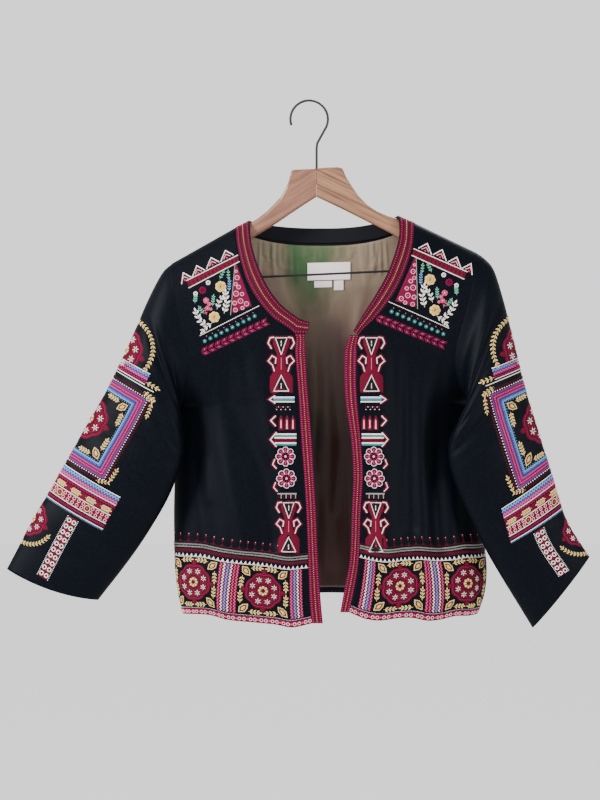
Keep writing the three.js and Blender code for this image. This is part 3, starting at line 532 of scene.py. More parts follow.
# The lining hangs inside the back, gathered under the neck facing, with long soft creases below.
LINING_STANDOFF = 2.8
LINING_HALF = 0.4
LINING_FIRST_COLUMN = 0.197
LINING_LAST_COLUMN = 3 - LINING_FIRST_COLUMN
LINING_LAST_ROW = 23.65
LINING_GATHERS = 34
LINING_FOLDS = [
    (-1.6, 9, -52, -280, -44, -340, -50, -420), (-1.3, 7, 84, -262, 70, -330, 76, -400),
    (-2.0, 11, 4, -330, 12, -430, 2, -540), (-1.8, 10, 44, -300, 36, -400, 46, -500, 38, -600),
    (-1.6, 9, -24, -420, -32, -520, -26, -640), (-2.0, 12, 70, -460, 84, -560, 78, -690),
    (-1.7, 10, 16, -560, 8, -640, 14, -730), (-1.6, 10, -80, -360, -70, -480, -78, -600),
    (-1.7, 11, 130, -330, 122, -460, 130, -590), (-1.4, 8, 100, -520, 110, -620, 104, -740),
    (-1.6, 10, -130, -400, -122, -520, -130, -660), (-1.5, 10, 190, -400, 182, -540, 188, -680),
    (-1.2, 7, -62, -560, -54, -650, -60, -735), (-1.3, 7, 30, -640, 40, -700, 34, -745),
    (-1.0, 5, -70, -236, -20, -246, -14, -262), (-1.0, 5, 110, -232, 90, -244, 84, -262),
]
rng = np.random.default_rng(7)
for k in range(LINING_GATHERS):
    x = -72 + 184 * (k + rng.uniform(-0.3, 0.3)) / (LINING_GATHERS - 1)
    long = rng.uniform(10, 22) if -14 < x < 70 else rng.uniform(14, 46)
    depth, half_width = -rng.uniform(0.6, 1.4), rng.uniform(1.6, 3.0)
    LINING_FOLDS.append((depth, half_width, x, -198, x + rng.uniform(-4, 4), -208 - long))


def lining_point(f, c):
    """f runs from under the neck facing to the lining's hem; c is the back panel's."""
    from_neck = 10 * (1 - (1 - np.clip(np.maximum(1 - c, c - 2), 0, 1)) ** (1 / SIDE_POWER))
    beyond = np.where((c > 1) & (c < 2), -np.minimum(10 * np.minimum(c - 1, 2 - c), 1), from_neck)
    start = 0.35 + 2.6 * smooth((beyond + 1) / 3)
    spots, normals = sheets["back_panel"].sample(mix(start, LINING_LAST_ROW, f), c)
    point = spots - normals * LINING_STANDOFF
    from_side = np.minimum(c - LINING_FIRST_COLUMN, LINING_LAST_COLUMN - c)
    edge = smooth(np.minimum(f * 60, (1 - f) * 12)) * smooth(from_side / 0.1)
    point[..., 1] += fold_height(LINING_FOLDS, point[..., 0], point[..., 2]) * edge
    return point


lining_columns = np.concatenate([
    steps(LINING_FIRST_COLUMN, 1, 50), steps(1, 2, 170)[1:-1], steps(2, LINING_LAST_COLUMN, 50),
])
lining_rows = np.concatenate([steps(0, 0.14, 50), steps(0.14, 1, 130)[1:]])
lining_sheet = Sheet(lining_point, lining_rows, lining_columns, -1)


# Materials
def shader_of(made):
    return made.node_tree.nodes["Principled BSDF"]


def material(name, colour, roughness=0.8, metallic=0.0, shine=0.5):
    made = bpy.data.materials.new(name)
    made.use_nodes = True
    inputs = shader_of(made).inputs
    inputs["Base Color"].default_value = (*colour, 1)
    inputs["Roughness"].default_value = roughness
    inputs["Metallic"].default_value = metallic
    inputs["Specular IOR Level"].default_value = shine
    return made


def add_noise(made, scale, detail, stretch=(1, 1, 1), shift=(0, 0, 0)):
    """Noise in the object's own coordinates; gives its mapping and itself."""
    nodes, links = made.node_tree.nodes, made.node_tree.links
    place, turn, noise = (nodes.new("ShaderNode" + kind) for kind in ("TexCoord", "Mapping", "TexNoise"))
    turn.inputs["Location"].default_value = shift
    turn.inputs["Scale"].default_value = stretch
    noise.inputs["Scale"].default_value = scale
    noise.inputs["Detail"].default_value = detail
    links.new(place.outputs["Object"], turn.inputs["Vector"])
    links.new(turn.outputs["Vector"], noise.inputs["Vector"])
    return turn, noise


def bump_from(made, source, strength, distance):
    """Fine relief from a node's value."""
    nodes, links = made.node_tree.nodes, made.node_tree.links
    bump = nodes.new("ShaderNodeBump")
    bump.inputs["Strength"].default_value = strength
    bump.inputs["Distance"].default_value = distance
    links.new(source, bump.inputs["Height"])
    links.new(bump.outputs["Normal"], shader_of(made).inputs["Normal"])


def colour_from(made, source, stops):
    """Base colour read off a ramp with a colour at each stop."""
    nodes, links = made.node_tree.nodes, made.node_tree.links
    ramp = nodes.new("ShaderNodeValToRGB")
    elements = ramp.color_ramp.elements
    while len(elements) < len(stops):
        elements.new(0.5)
    for k, (at, colour) in enumerate(stops):
        elements[k].position = at
        elements[k].color = (*colour, 1)
    links.new(source, ramp.inputs["Fac"])
    links.new(ramp.outputs["Color"], shader_of(made).inputs["Base Color"])


def add_bump(made, scale, strength, distance, stretch=(1, 1, 1)):
    """Fine relief from noise."""
    _, noise = add_noise(made, scale, 3, stretch)
    bump_from(made, noise.outputs[0], strength, distance)


def vary_colour(made, stops, scale, stretch=(1, 1, 1), shift=(0, 0, 0)):
    """Base colour drifts between several colours over the piece."""
    _, noise = add_noise(made, scale, 4, stretch, shift)
    colour_from(made, noise.outputs[0], stops)


cloth_black = material("cloth_black", (0.003, 0.004, 0.007), 0.5, shine=0.036)
vary_colour(cloth_black, [
    (0.3, (0.0006, 0.001, 0.002)), (0.55, (0.0012, 0.002, 0.0038)), (0.8, (0.0024, 0.0036, 0.006)),
], 420)
add_bump(cloth_black, 1500, 0.5, 0.0004)
band_red = material("band_red", (0.018, 0.002, 0.005), 0.8, shine=0.15)
add_bump(band_red, 1600, 0.5, 0.0004)
facing_black = material("facing_black", (0.004, 0.004, 0.006), 0.9, shine=0.12)
lining_brown = material("lining_brown", (0.12, 0.085, 0.055), 0.45, shine=0.3)
vary_colour(lining_brown, [
    (0.36, (0.020, 0.055, 0.016)), (0.44, (0.085, 0.078, 0.042)), (0.50, (0.150, 0.112, 0.075)),
    (0.57, (0.125, 0.086, 0.062)), (0.66, (0.140, 0.060, 0.062)),
], 9, (1, 0.3, 0.5), (0.31, 0.2, 0.14))
add_bump(lining_brown, 26, 0.55, 0.004, stretch=(1, 1, 0.16))


def tint_by_height(made, bottom, top, low_tint):
    """Base colour is multiplied by a tint that grows from one height in metres down to another."""
    nodes, links = made.node_tree.nodes, made.node_tree.links
    colour = shader_of(made).inputs["Base Color"]
    source = colour.links[0].from_socket
    place, split = nodes.new("ShaderNodeTexCoord"), nodes.new("ShaderNodeSeparateXYZ")
    height, tint = nodes.new("ShaderNodeMapRange"), nodes.new("ShaderNodeVectorMath")
    ramp = nodes.new("ShaderNodeValToRGB")
    height.inputs["From Min"].default_value = bottom
    height.inputs["From Max"].default_value = top
    ramp.color_ramp.elements[0].color = (*low_tint, 1)
    ramp.color_ramp.elements[1].color = (1, 1, 1, 1)
    tint.operation = "MULTIPLY"
    links.new(place.outputs["Object"], split.inputs["Vector"])
    links.new(split.outputs["Z"], height.inputs["Value"])
    links.new(height.outputs["Result"], ramp.inputs["Fac"])
    links.new(source, tint.inputs[0])
    links.new(ramp.outputs["Color"], tint.inputs[1])
    links.new(tint.outputs["Vector"], colour)


tint_by_height(lining_brown, -0.50, -0.27, (0.20, 0.07, 0.07))
label_pale = material("label_pale", (0.62, 0.54, 0.54), 0.6, shine=0.2)
wood_pink = material("wood_pink", (0.44, 0.24, 0.15), 0.42)
wood_oak = material("wood_oak", (0.40, 0.24, 0.11), 0.4)
wire_dark = material("wire_dark", (0.022, 0.020, 0.018), 0.3, metallic=0.6)
wire_black = material("wire_black", (0.006, 0.006, 0.007), 0.4, shine=0.2)


def wood_grain(made, light, mid, dark, stretch, turn_degrees):
    """Streaks along a turned direction."""
    turn, noise = add_noise(made, 60, 6, stretch)
    turn.vector_type = "TEXTURE"
    turn.inputs["Rotation"].default_value = (0, math.radians(turn_degrees), 0)
    noise.inputs["Roughness"].default_value = 0.6
    colour_from(made, noise.outputs[0], [(0.32, dark), (0.5, mid), (0.66, light)])


wood_grain(wood_pink, (0.185, 0.084, 0.050), (0.140, 0.058, 0.033), (0.10, 0.038, 0.020), (4, 0.4, 0.4), -30)
wood_grain(wood_oak, (0.215, 0.105, 0.054), (0.160, 0.072, 0.035), (0.062, 0.025, 0.012), (5, 0.22, 0.22), 26)


def smooth_faces(mesh):
    mesh.polygons.foreach_set("use_smooth", [True] * len(mesh.polygons))


def mesh_object(name, points, faces, materials):
    """Smooth-shaded object from points in millimetres, riding the body."""
    mesh = bpy.data.meshes.new(name)
    mesh.from_pydata((np.asarray(points) * MM).tolist(), [], [tuple(face) for face in faces])
    mesh.validate()
    for made in materials:
        mesh.materials.append(made)
    smooth_faces(mesh)
    made = bpy.data.objects.new(name, mesh)
    bpy.context.scene.collection.objects.link(made)
    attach(made, "root")
    return made


def shell_object(name, sheet, half, materials):
    """Closed thin shell round a sheet; a second material goes on its inner side and edges."""
    n_rows, n_columns = sheet.spots.shape[:2]
    count = n_rows * n_columns
    points = [(sheet.spots + sheet.normals * away).reshape(-1, 3) for away in (half, -half)]
    width = n_columns if sheet.wrap else n_columns - 1
    i, j = np.meshgrid(np.arange(n_rows - 1), np.arange(width), indexing="ij")
    a = i * n_columns + j
    b = i * n_columns + (j + 1) % n_columns
    c, d = b + n_columns, a + n_columns
    front = np.stack([a, d, c, b], -1).reshape(-1, 4)
    back = np.stack([a, b, c, d], -1).reshape(-1, 4) + count
    top = np.stack([a[0], b[0], b[0] + count, a[0] + count], -1)
    bottom = np.stack([d[-1] + count, c[-1] + count, c[-1], d[-1]], -1)
    rims = [top, bottom]
    if not sheet.wrap:
        first = np.arange(n_rows - 1) * n_columns
        end = first + n_columns - 1
        rims.append(np.stack([first + count, first + n_columns + count, first + n_columns, first], -1))
        rims.append(np.stack([end, end + n_columns, end + n_columns + count, end + count], -1))
    faces = np.concatenate([front, back, *rims])
    if sheet.outward < 0:
        faces = faces[:, ::-1]
    made = mesh_object(name, np.concatenate(points), faces, materials)
    if len(materials) > 1:
        index = np.ones(len(faces), np.int32)
        index[:len(front)] = 0
        made.data.polygons.foreach_set("material_index", index)
    return made


for name, sheet in sheets.items():
    if "band" in name:
        made = shell_object(name + "_look", sheet, BAND_HALF, [band_red, facing_black])
    else:
        made = shell_object(name + "_look", sheet, CLOTH_HALF, [cloth_black, facing_black])
    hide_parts(name)
lining = shell_object("lining_back_look", lining_sheet, LINING_HALF, [lining_brown])
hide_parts("lining_back")

# Looks of the solids that stay
SOLID_LOOKS = {
    "hanger_arm_right": wood_pink, "hanger_arm_left": wood_oak,
    "hanger_hook": wire_dark, "hanger_bar": wire_black, "neck_facing_back": facing_black,
    "label_main": label_pale, "label_tab_care": label_pale, "label_tab_size": label_pale,
}
for node, look in SOLID_LOOKS.items():
    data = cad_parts[node].data
    data.materials.clear()
    data.materials.append(look)
for node in ("hanger_hook", "hanger_bar"):
    smooth_faces(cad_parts[node].data)

# Stitched motifs. Each one is a low padded shape on the cloth, drawn in flat millimetres and then laid on.
THREADS = {
    "crimson": (0.082, 0.0008, 0.0115), "wine": (0.038, 0.001, 0.008), "magenta": (0.18, 0.002, 0.047),
    "pink": (0.42, 0.055, 0.130), "blush": (0.62, 0.26, 0.30), "white": (0.62, 0.58, 0.54),
    "cream": (0.52, 0.37, 0.145), "peach": (0.62, 0.27, 0.12), "gold": (0.50, 0.29, 0.04),
    "mint": (0.10, 0.32, 0.22), "teal": (0.02, 0.13, 0.13), "royal": (0.018, 0.032, 0.16),
    "sky": (0.105, 0.21, 0.40), "silver": (0.20, 0.19, 0.175), "violet": (0.10, 0.02, 0.13),
    "black": (0.003, 0.0035, 0.005), "raspberry": (0.105, 0.0010, 0.026),
}
# Width of one thread, and the heights and steps that stitches are laid with
THREAD_PERIOD = 0.42
CELL = 3.0
WIDE_CELL = 9
SEAT = -0.15


def thread_material(name, colour):
    """Twisted thread with fine ridges, along the grain of each shape, with painted shade in each groove and a
    painted highlight on each ridge.
    """
    made = material("thread_" + name, colour, 0.55, shine=0.06)
    nodes, links = made.node_tree.nodes, made.node_tree.links
    uv = nodes.new("ShaderNodeUVMap")
    uv.uv_map = "threads"
    wave = nodes.new("ShaderNodeTexWave")
    wave.inputs["Scale"].default_value = 0.314 / THREAD_PERIOD
    wave.inputs["Distortion"].default_value = 0.6
    wave.inputs["Detail"].default_value = 1
    links.new(uv.outputs["UV"], wave.inputs["Vector"])
    bump_from(made, wave.outputs[1], 0.5, 0.00025)
    # Painted shade and painted highlight: the colour follows the ridges' wave, darker in the grooves and
    # lighter on the crests.
    dark = [value * 0.72 for value in colour]
    light = [min(value * 1.12, 0.95) for value in colour]
    colour_from(made, wave.outputs[1], [(0, dark), (1, light)])
    return made


thread_names = list(THREADS)
thread_materials = [thread_material(name, THREADS[name]) for name in thread_names]


def turned(points, angle):
    c, s = math.cos(math.radians(angle)), math.sin(math.radians(angle))
    return np.asarray(points) @ np.array([[c, s], [-s, c]])


def resample(line, spacing, closed=False):
    """The line with points at most `spacing` apart, its corners kept."""
    line = np.asarray(line, float)
    if closed:
        line = np.vstack([line, line[:1]])
    pieces = []
    for a, b in zip(line[:-1], line[1:]):
        count = max(1, int(math.ceil(np.linalg.norm(b - a) / spacing)))
        pieces.append(a + (b - a) * np.arange(count)[:, None] / count)
    pieces.append(line[-1:])
    points = np.vstack(pieces)
    return points[:-1] if closed else points


def along_of(points):
    """Length from the first point to each one."""
    return np.concatenate([[0], np.cumsum(np.linalg.norm(np.diff(points, axis=0), axis=1))])


def read_line(at, keys, line):
    """Flat points of a line, read between its keys."""
    return np.stack([np.interp(at, keys, line[:, k]) for k in (0, 1)], -1)


def walk(line, pitch):
    """Points, headings and the real pitch at even steps along a line."""
    line = np.asarray(line, float)
    total = along_of(line)
    count = max(1, int(round(total[-1] / pitch)))
    at = (np.arange(count) + 0.5) * total[-1] / count
    index = np.clip(np.searchsorted(total, at) - 1, 0, len(line) - 2)
    ahead = line[index + 1] - line[index]
    headings = np.degrees(np.arctan2(ahead[:, 1], ahead[:, 0]))
    return read_line(at, total, line), headings, total[-1] / count


def grid_faces(rows, columns, closed=False):
    """Two triangles for each cell of a grid of points."""
    faces = []
    for i in range(rows if closed else rows - 1):
        for j in range(columns - 1):
            a, b = i * columns + j, (i + 1) % rows * columns + j
            faces += [(a, b, b + 1), (a, b + 1, a + 1)]
    return faces


class Stitches:
    """Collects flat shapes for one sheet, then lays them all on it as one mesh."""

    def __init__(self, name, sheet, place, base=CLOTH_HALF):
        self.name, self.sheet, self.place, self.base = name, sheet, place, base
        self.flat, self.lift, self.faces, self.colours, self.threads = [], [], [], [], []
        self.count = 0

    def add(self, flat, lift, faces, colour, grain=0.0):
        flat = np.asarray(flat, float)
        self.flat.append(flat)
        self.lift.append(lift)
        self.faces.append(np.asarray(faces, int) + self.count)
        self.colours.append(np.full(len(faces), thread_names.index(colour)))
        self.threads.append(turned(flat, -grain))
        self.count += len(flat)

    def fan(self, outline, colour, lift=0.8, seat=SEAT, grain=90.0, rings=(0.72,)):
        """Padded shape: a rim on the cloth, one or more rings inside it and a top."""
        outline = np.asarray(outline, float)
        n = len(outline)
        centre = outline.mean(0)
        flat = np.vstack([centre + (outline - centre) * share for share in (1.0, *rings)] + [centre[None]])
        heights = [seat] + [lift - 0.12 * (lift - seat) * (k == 0) for k in range(len(rings))]
        lifts = np.concatenate([np.repeat(heights, n), [lift]])
        faces = []
        for level in range(len(rings)):
            for k in range(n):
                a, b = level * n + k, level * n + (k + 1) % n
                faces += [(a, b, b + n), (a, b + n, a + n)]
        top = len(rings) * n
        faces += [(top + k, top + (k + 1) % n, top + n) for k in range(n)]
        self.add(flat, lifts, faces, colour, grain)

    def strip(self, line, width, colour, lift=0.7, seat=SEAT, closed=False, spacing=CELL):
        """Raised line of stitches, mitred at its corners."""
        line = resample(line, spacing, closed)
        n = len(line)
        if closed:
            ahead, behind = np.roll(line, -1, 0) - line, line - np.roll(line, 1, 0)
        else:
            step = np.diff(line, axis=0)
            ahead, behind = np.vstack([step, step[-1:]]), np.vstack([step[:1], step])
        ahead /= np.linalg.norm(ahead, axis=1, keepdims=True)
        behind /= np.linalg.norm(behind, axis=1, keepdims=True)
        along = ahead + behind
        size = np.linalg.norm(along, axis=1, keepdims=True)
        along /= np.maximum(size, 1e-6)
        side = np.stack([-along[:, 1], along[:, 0]], -1)
        reach = np.minimum(2 / np.maximum(size, 0.9), 1.8)
        offsets = np.array([-0.5, -0.28, 0.28, 0.5]) * width
        flat = (line[:, None] + side[:, None] * (offsets[None, :, None] * reach[:, None])).reshape(-1, 2)
        heading = math.degrees(math.atan2(line[1, 1] - line[0, 1], line[1, 0] - line[0, 0]))
        self.add(flat, np.tile([seat, lift, lift, seat], n), grid_faces(n, 4, closed), colour, heading + 35)

    def fill(self, flat, colour, lift, grain):
        """A grid of points as a low pad with its edges down on the cloth."""
        lifts = np.full(flat.shape[:2], float(lift))
        lifts[0], lifts[-1], lifts[:, 0], lifts[:, -1] = SEAT, SEAT, SEAT, SEAT
        self.add(flat.reshape(-1, 2), lifts.reshape(-1), grid_faces(*flat.shape[:2]), colour, grain)

    def patch(self, x0, y0, x1, y1, colour, lift=0.3, grain=0.0):
        """Filled upright rectangle."""
        edge = 0.25
        sides = []
        for low, high in ((x0, x1), (y0, y1)):
            count = max(1, int(math.ceil(abs(high - low) / CELL)))
            sides.append(np.concatenate([[low], np.linspace(low + edge, high - edge, count + 1), [high]]))
        self.fill(np.stack(np.meshgrid(*sides, indexing="ij"), -1), colour, lift, grain)

    def quad_patch(self, corners, colour, lift=0.3, grain=0.0):
        """Filled four-sided shape, corners in order."""
        a, b, c, d = (np.asarray(corner, float) for corner in corners)
        nu = max(2, int(math.ceil(max(np.linalg.norm(b - a), np.linalg.norm(c - d)) / CELL)))
        nv = max(2, int(math.ceil(max(np.linalg.norm(d - a), np.linalg.norm(c - b)) / CELL)))
        u, v = np.meshgrid(np.linspace(0, 1, nu + 1), np.linspace(0, 1, nv + 1), indexing="ij")
        u, v = u[..., None], v[..., None]
        self.fill((a * (1 - u) + b * u) * (1 - v) + (d * (1 - u) + c * u) * v, colour, lift, grain)

    def body(self, left, right, colour):
        """Filled shape between a left and a right edge."""
        shares = np.linspace(0, len(left) - 1, 30)
        first, last = (read_line(shares, np.arange(len(left)), side) for side in (left, right))
        flat = np.stack([mix(first, last, share) for share in (0, 0.05, 0.35, 0.65, 0.95, 1)], 1)
        self.fill(flat, colour, 0.45, 90.0)

    def lay(self):
        """Makes the mesh: every flat point goes to its place on the sheet, raised by its lift."""
        flat, lift, faces = np.vstack(self.flat), np.concatenate(self.lift), np.vstack(self.faces)
        spots, normals = self.sheet.sample(*self.place(flat[:, 0], flat[:, 1]))
        normals *= 1 / np.maximum(np.linalg.norm(normals, axis=-1, keepdims=True), 1e-9)
        points = spots + normals * (self.base + lift)[:, None]
        a, b, c = points[faces[:, 0]], points[faces[:, 1]], points[faces[:, 2]]
        backwards = (np.cross(b - a, c - a) * normals[faces[:, 0]]).sum(-1) < 0
        faces[backwards] = faces[backwards][:, ::-1]
        colours = np.concatenate(self.colours)
        used = np.unique(colours)
        made = mesh_object(self.name, points, faces, [thread_materials[k] for k in used])
        mesh = made.data
        if len(mesh.polygons) == len(colours):
            mesh.polygons.foreach_set("material_index", np.searchsorted(used, colours).astype(np.int32))
        layer = mesh.uv_layers.new(name="threads")
        corner = np.empty(len(mesh.loops), np.int32)
        mesh.loops.foreach_get("vertex_index", corner)
        layer.data.foreach_set("uv", np.vstack(self.threads)[corner].ravel().astype(np.float32))


# Outlines in flat millimetres; each points along +y from the origin.
def disc(radius, n=10):
    turn = np.arange(n) / n * 2 * np.pi
    return np.stack([radius * np.cos(turn), radius * np.sin(turn)], -1)


def petal(length, width, start=0.0):
    """Rounded petal, widest towards its tip."""
    half = width / 2
    side = [(0.12, 0.0), (0.45, 0.3), (1.0, 0.68), (0.62, 0.93)]
    right = [(half * w, start + (length - start) * t) for w, t in side]
    left = [(-x, y) for x, y in right[::-1]]
    return np.array(right + [(0, length)] + left)


def leaf(length, width):
    half = width / 2
    return np.array([(0, 0), (half * 0.9, length * 0.35), (half * 0.75, length * 0.7), (0, length),
                     (-half * 0.75, length * 0.7), (-half * 0.9, length * 0.35)])


def peak(x, y, half, waist, waist_height, height):
    """Triangle with hollow sides, its foot centred on x and y."""
    return np.array([(x - half, y), (x + half, y), (x + waist, y + waist_height), (x, y + height),
                     (x - waist, y + waist_height)])


def moved(points, x, y, angle=0.0):
    return turned(points, angle) + np.array([x, y])


def level(x0, x1, y):
    return [(x0, y), (x1, y)]


def flower(st, x, y, r, petals, colour, heart, lift=0.9, turn=0.0):
    """Petals round a heart."""
    width = 2 * r * math.sin(math.pi / petals) * 0.95
    for k in range(petals):
        angle = turn + 360 * k / petals
        st.fan(moved(petal(r, width, r * 0.15), x, y, angle), colour, lift, grain=angle)
    st.fan(moved(disc(r * 0.32, 8), x, y), heart, lift + 0.35)


def small_star(st, x, y, r):
    """Six light points round a dark dot."""
    for angle in range(0, 360, 60):
        st.fan(moved(leaf(r, r * 0.24), x, y, angle), "white", 1.0, seat=0.3, grain=angle)
    st.fan(moved(disc(r * 0.2, 6), x, y), "black", 1.2, seat=0.4)


def sprig(st, line, size, colour, pitch, lift=0.85):
    """Stem with pairs of leaves."""
    points, headings, _ = walk(line, pitch)
    st.strip(line, 0.7, colour, lift * 0.7)
    outline = leaf(size, size * 0.48)
    for (x, y), heading in zip(points, headings):
        for side in (-1, 1):
            st.fan(moved(outline, x, y, heading - 90 + side * 42), colour, lift, grain=heading + side * 40)
    st.fan(moved(outline, *line[-1], headings[-1] - 90), colour, lift, grain=headings[-1])


def medallion(st, x, y, r):
    """Lobed disc with eight small stars round a light flower, and four points."""
    turn = np.arange(64) / 64 * 2 * np.pi
    radius = r * (0.92 + 0.055 * np.abs(np.sin(4 * turn)) * 1.6)
    ring = np.stack([radius * np.cos(turn), radius * np.sin(turn)], -1)
    for k in range(4):
        st.fan(turned(leaf(r * 0.36, r * 0.30) + (0, r * 0.84), 90 * k) + (x, y), "crimson", 0.5)
    st.fan(ring + (x, y), "crimson", 0.42, rings=(0.96, 0.86, 0.74, 0.6, 0.45, 0.3, 0.15))
    for part, width, colour in ((0.90, 1.0, "magenta"), (0.83, 0.9, "black"), (0.37, 1.0, "black")):
        st.strip(ring * part + (x, y), width, colour, 0.75, seat=0.2, closed=True)
    for k in range(8):
        angle = math.radians(22.5 + 45 * k)
        small_star(st, x + r * 0.62 * math.cos(angle), y + r * 0.62 * math.sin(angle), r * 0.18)
    for k in range(8):
        st.fan(moved(petal(r * 0.26, r * 0.15, r * 0.08), x, y, 45 * k), "cream", 1.0, seat=0.3, grain=45 * k)
    st.fan(moved(disc(r * 0.12, 8), x, y), "wine", 1.15, seat=0.4)
    st.fan(moved(disc(r * 0.05, 6), x, y), "crimson", 1.35, seat=0.6)


def teardrop(st, x, y, angle, size):
    """Light almond with a scalloped rim and a dark line inside it."""
    def almond(share, wide):
        return moved(leaf(size * share, size * wide) - (0, size * share / 2), x, y, angle)
    for point in resample(leaf(size * 1.1, size * 0.68) - (0, size * 0.55), size * 0.13, closed=True):
        st.fan(moved(disc(size * 0.075, 6), *(turned(point, angle) + (x, y))), "cream", 0.8)
    st.fan(almond(1, 0.62), "cream", 0.6, grain=angle)
    st.strip(almond(0.74, 0.42), 1.5, "wine", 0.95, seat=0.3, closed=True)
    st.fan(almond(0.5, 0.22), "peach", 0.9, seat=0.4)


def corner_spray(st, x, y, sx, sy, reach):
    """Teardrop in a block's corner with leaves along both sides. sx and sy point to the middle."""
    teardrop(st, x + sx * 8.6, y + sy * 8.6, math.degrees(math.atan2(-sx, sy)), 15.0)
    for first, last in (((15.5, 4.2), (reach, 3.4)), ((4.2, 15.5), (3.4, reach))):
        line = [(x + sx * first[0], y + sy * first[1]), (x + sx * last[0], y + sy * last[1])]
        sprig(st, line, 5.6, "cream", pitch=4.6)


def zigzag(x0, y0, x1, y1, swing, pitch):
    """A zigzag between two points."""
    a, b = np.array([x0, y0], float), np.array([x1, y1], float)
    length = np.linalg.norm(b - a)
    heading = (b - a) / length
    side = np.array([-heading[1], heading[0]])
    count = max(2, int(round(length / pitch * 2)))
    k = np.arange(count + 1)
    return a + heading * (k * length / count)[:, None] + side * (np.where(k % 2, swing, -swing))[:, None]


def dashes(st, line, length, width, pitch, colour, slant=35.0, lift=0.9, seat=0.2):
    """Row of short slanted stitches along a line."""
    points, headings, _ = walk(line, pitch)
    shape = leaf(length, width) - (0, length / 2)
    for (x, y), heading in zip(points, headings):
        st.fan(moved(shape, x, y, heading - 90 + slant), colour, lift, seat=seat, grain=heading + slant)


def dots(st, line, radius, pitch, colour, lift=0.9, seat=0.0):
    """Row of small round stitches along a line."""
    points, _, _ = walk(line, pitch)
    for x, y in points:
        st.fan(moved(disc(radius, 6), x, y), colour, lift, seat=seat)


ZIGZAG_SWING, ZIGZAG_PITCH = 1.3, 4.8


def zigzag_panel(st, x0, x1, y0, y1, colours):
    """Upright panel of side by side zigzag rows."""
    st.patch(x0, y0, x1, y1, "raspberry", grain=90)
    width = (x1 - x0 - 2) / len(colours)
    for k, colour in enumerate(colours):
        x = x0 + 1 + (k + 0.5) * width
        if colour == "dots":
            dashes(st, [(x, y0 + 1), (x, y1 - 1)], width * 1.1, width * 0.45, 2.4, "royal", 60)
        else:
            line = zigzag(x, y0 + 0.8, x, y1 - 0.8, ZIGZAG_SWING, ZIGZAG_PITCH)
            st.strip(line, width * 0.5, colour, 0.75, seat=0.2, spacing=WIDE_CELL)


def small_ring(st, x, y, radius, n, thick, colour, lift=1.0, seat=0.3):
    st.strip(disc(radius, n) + (x, y), thick, colour, lift, seat=seat, closed=True, spacing=WIDE_CELL)


def eight(st, x, y, angle, size, colour="blush", heart="crimson", thick=0.19):
    """Two small rings, one above the other."""
    for side in (-1, 1):
        cx, cy = turned(np.array([[0, side * size * 0.45]]), angle)[0] + (x, y)
        small_ring(st, cx, cy, size * 0.31, 8, size * thick, colour)
        st.fan(disc(size * 0.12, 6) + (cx, cy), heart, 0.8, seat=0.3)


# Where flat millimetres fall on each sheet
def px(x, y):
    """Flat x and z of a place in the picture."""
    return (x - PHOTO_ORIGIN[0]) * PHOTO_SCALE, (PHOTO_ORIGIN[1] - y) * PHOTO_SCALE


def place_front(side):
    """Flat x and z as seen from the front."""
    def place(x, z):
        low, high = np.zeros(len(x)), np.full(len(x), float(HEM_ROW))
        for _ in range(26):
            row = (low + high) / 2
            _, _, inner, outer = front_flat(side, row, np.zeros(len(x)))
            v = np.clip((x - inner[:, 0]) / (outer[:, 0] - inner[:, 0]), 0, 1)
            _, z_here, _, _ = front_flat(side, row, v)
            below = z_here > z
            low, high = np.where(below, row, low), np.where(below, high, row)
        return row, v
    return place


# By millimetres along, a front's border is a little lower at the opening and its upper part leans to the side.
FRONT_HEM_HEIGHT = ([0, 60, 160], [0.955, 0.97, 1.0])
FRONT_HEM_LEAN = ([0, 30, 115, 175], [0, 0.05, 0.2, 0.12])
LEAN_HEIGHT = 48


def place_hem(sheet, front=False):
    """Along the hem from the sheet's first column and up from the hem."""
    along = along_of(sheet.spots[-1])
    lower = sheet.spots[sheet.rows >= UNDERARM_ROW]
    heights = np.linalg.norm(np.diff(lower, axis=0), axis=2).sum(0)

    def place(a, b):
        if front:
            places, leans = FRONT_HEM_LEAN
            b = b * np.interp(a, *FRONT_HEM_HEIGHT)
            a = a - (b - LEAN_HEIGHT) * np.interp(a, [*places, along[-1]], [*leans, 0])
        height = np.interp(a, along, heights)
        return HEM_ROW - (HEM_ROW - UNDERARM_ROW) * b / height, np.interp(a, along, sheet.columns)
    return place, along[-1]


# Rounding of the outer fold, which flat distances across a sleeve go round
FOLD_FLATNESS = 7.0
# How far the middle of the panel lies behind the outer fold
PANEL_BEHIND = {"right": 0.0, "left": 5.0}
# How far the lanes that cross a sleeve fall from the level, in degrees, by the length down its outer fold
SLEEVE_LEAN = {
    "right": ([0, 130, 200, 420], [24, 28, 30, 27]),
    "left": ([0, 130, 260, 330, 420], [18, 20, 24, 33, 30]),
}
SLEEVE_SAMPLES = 400


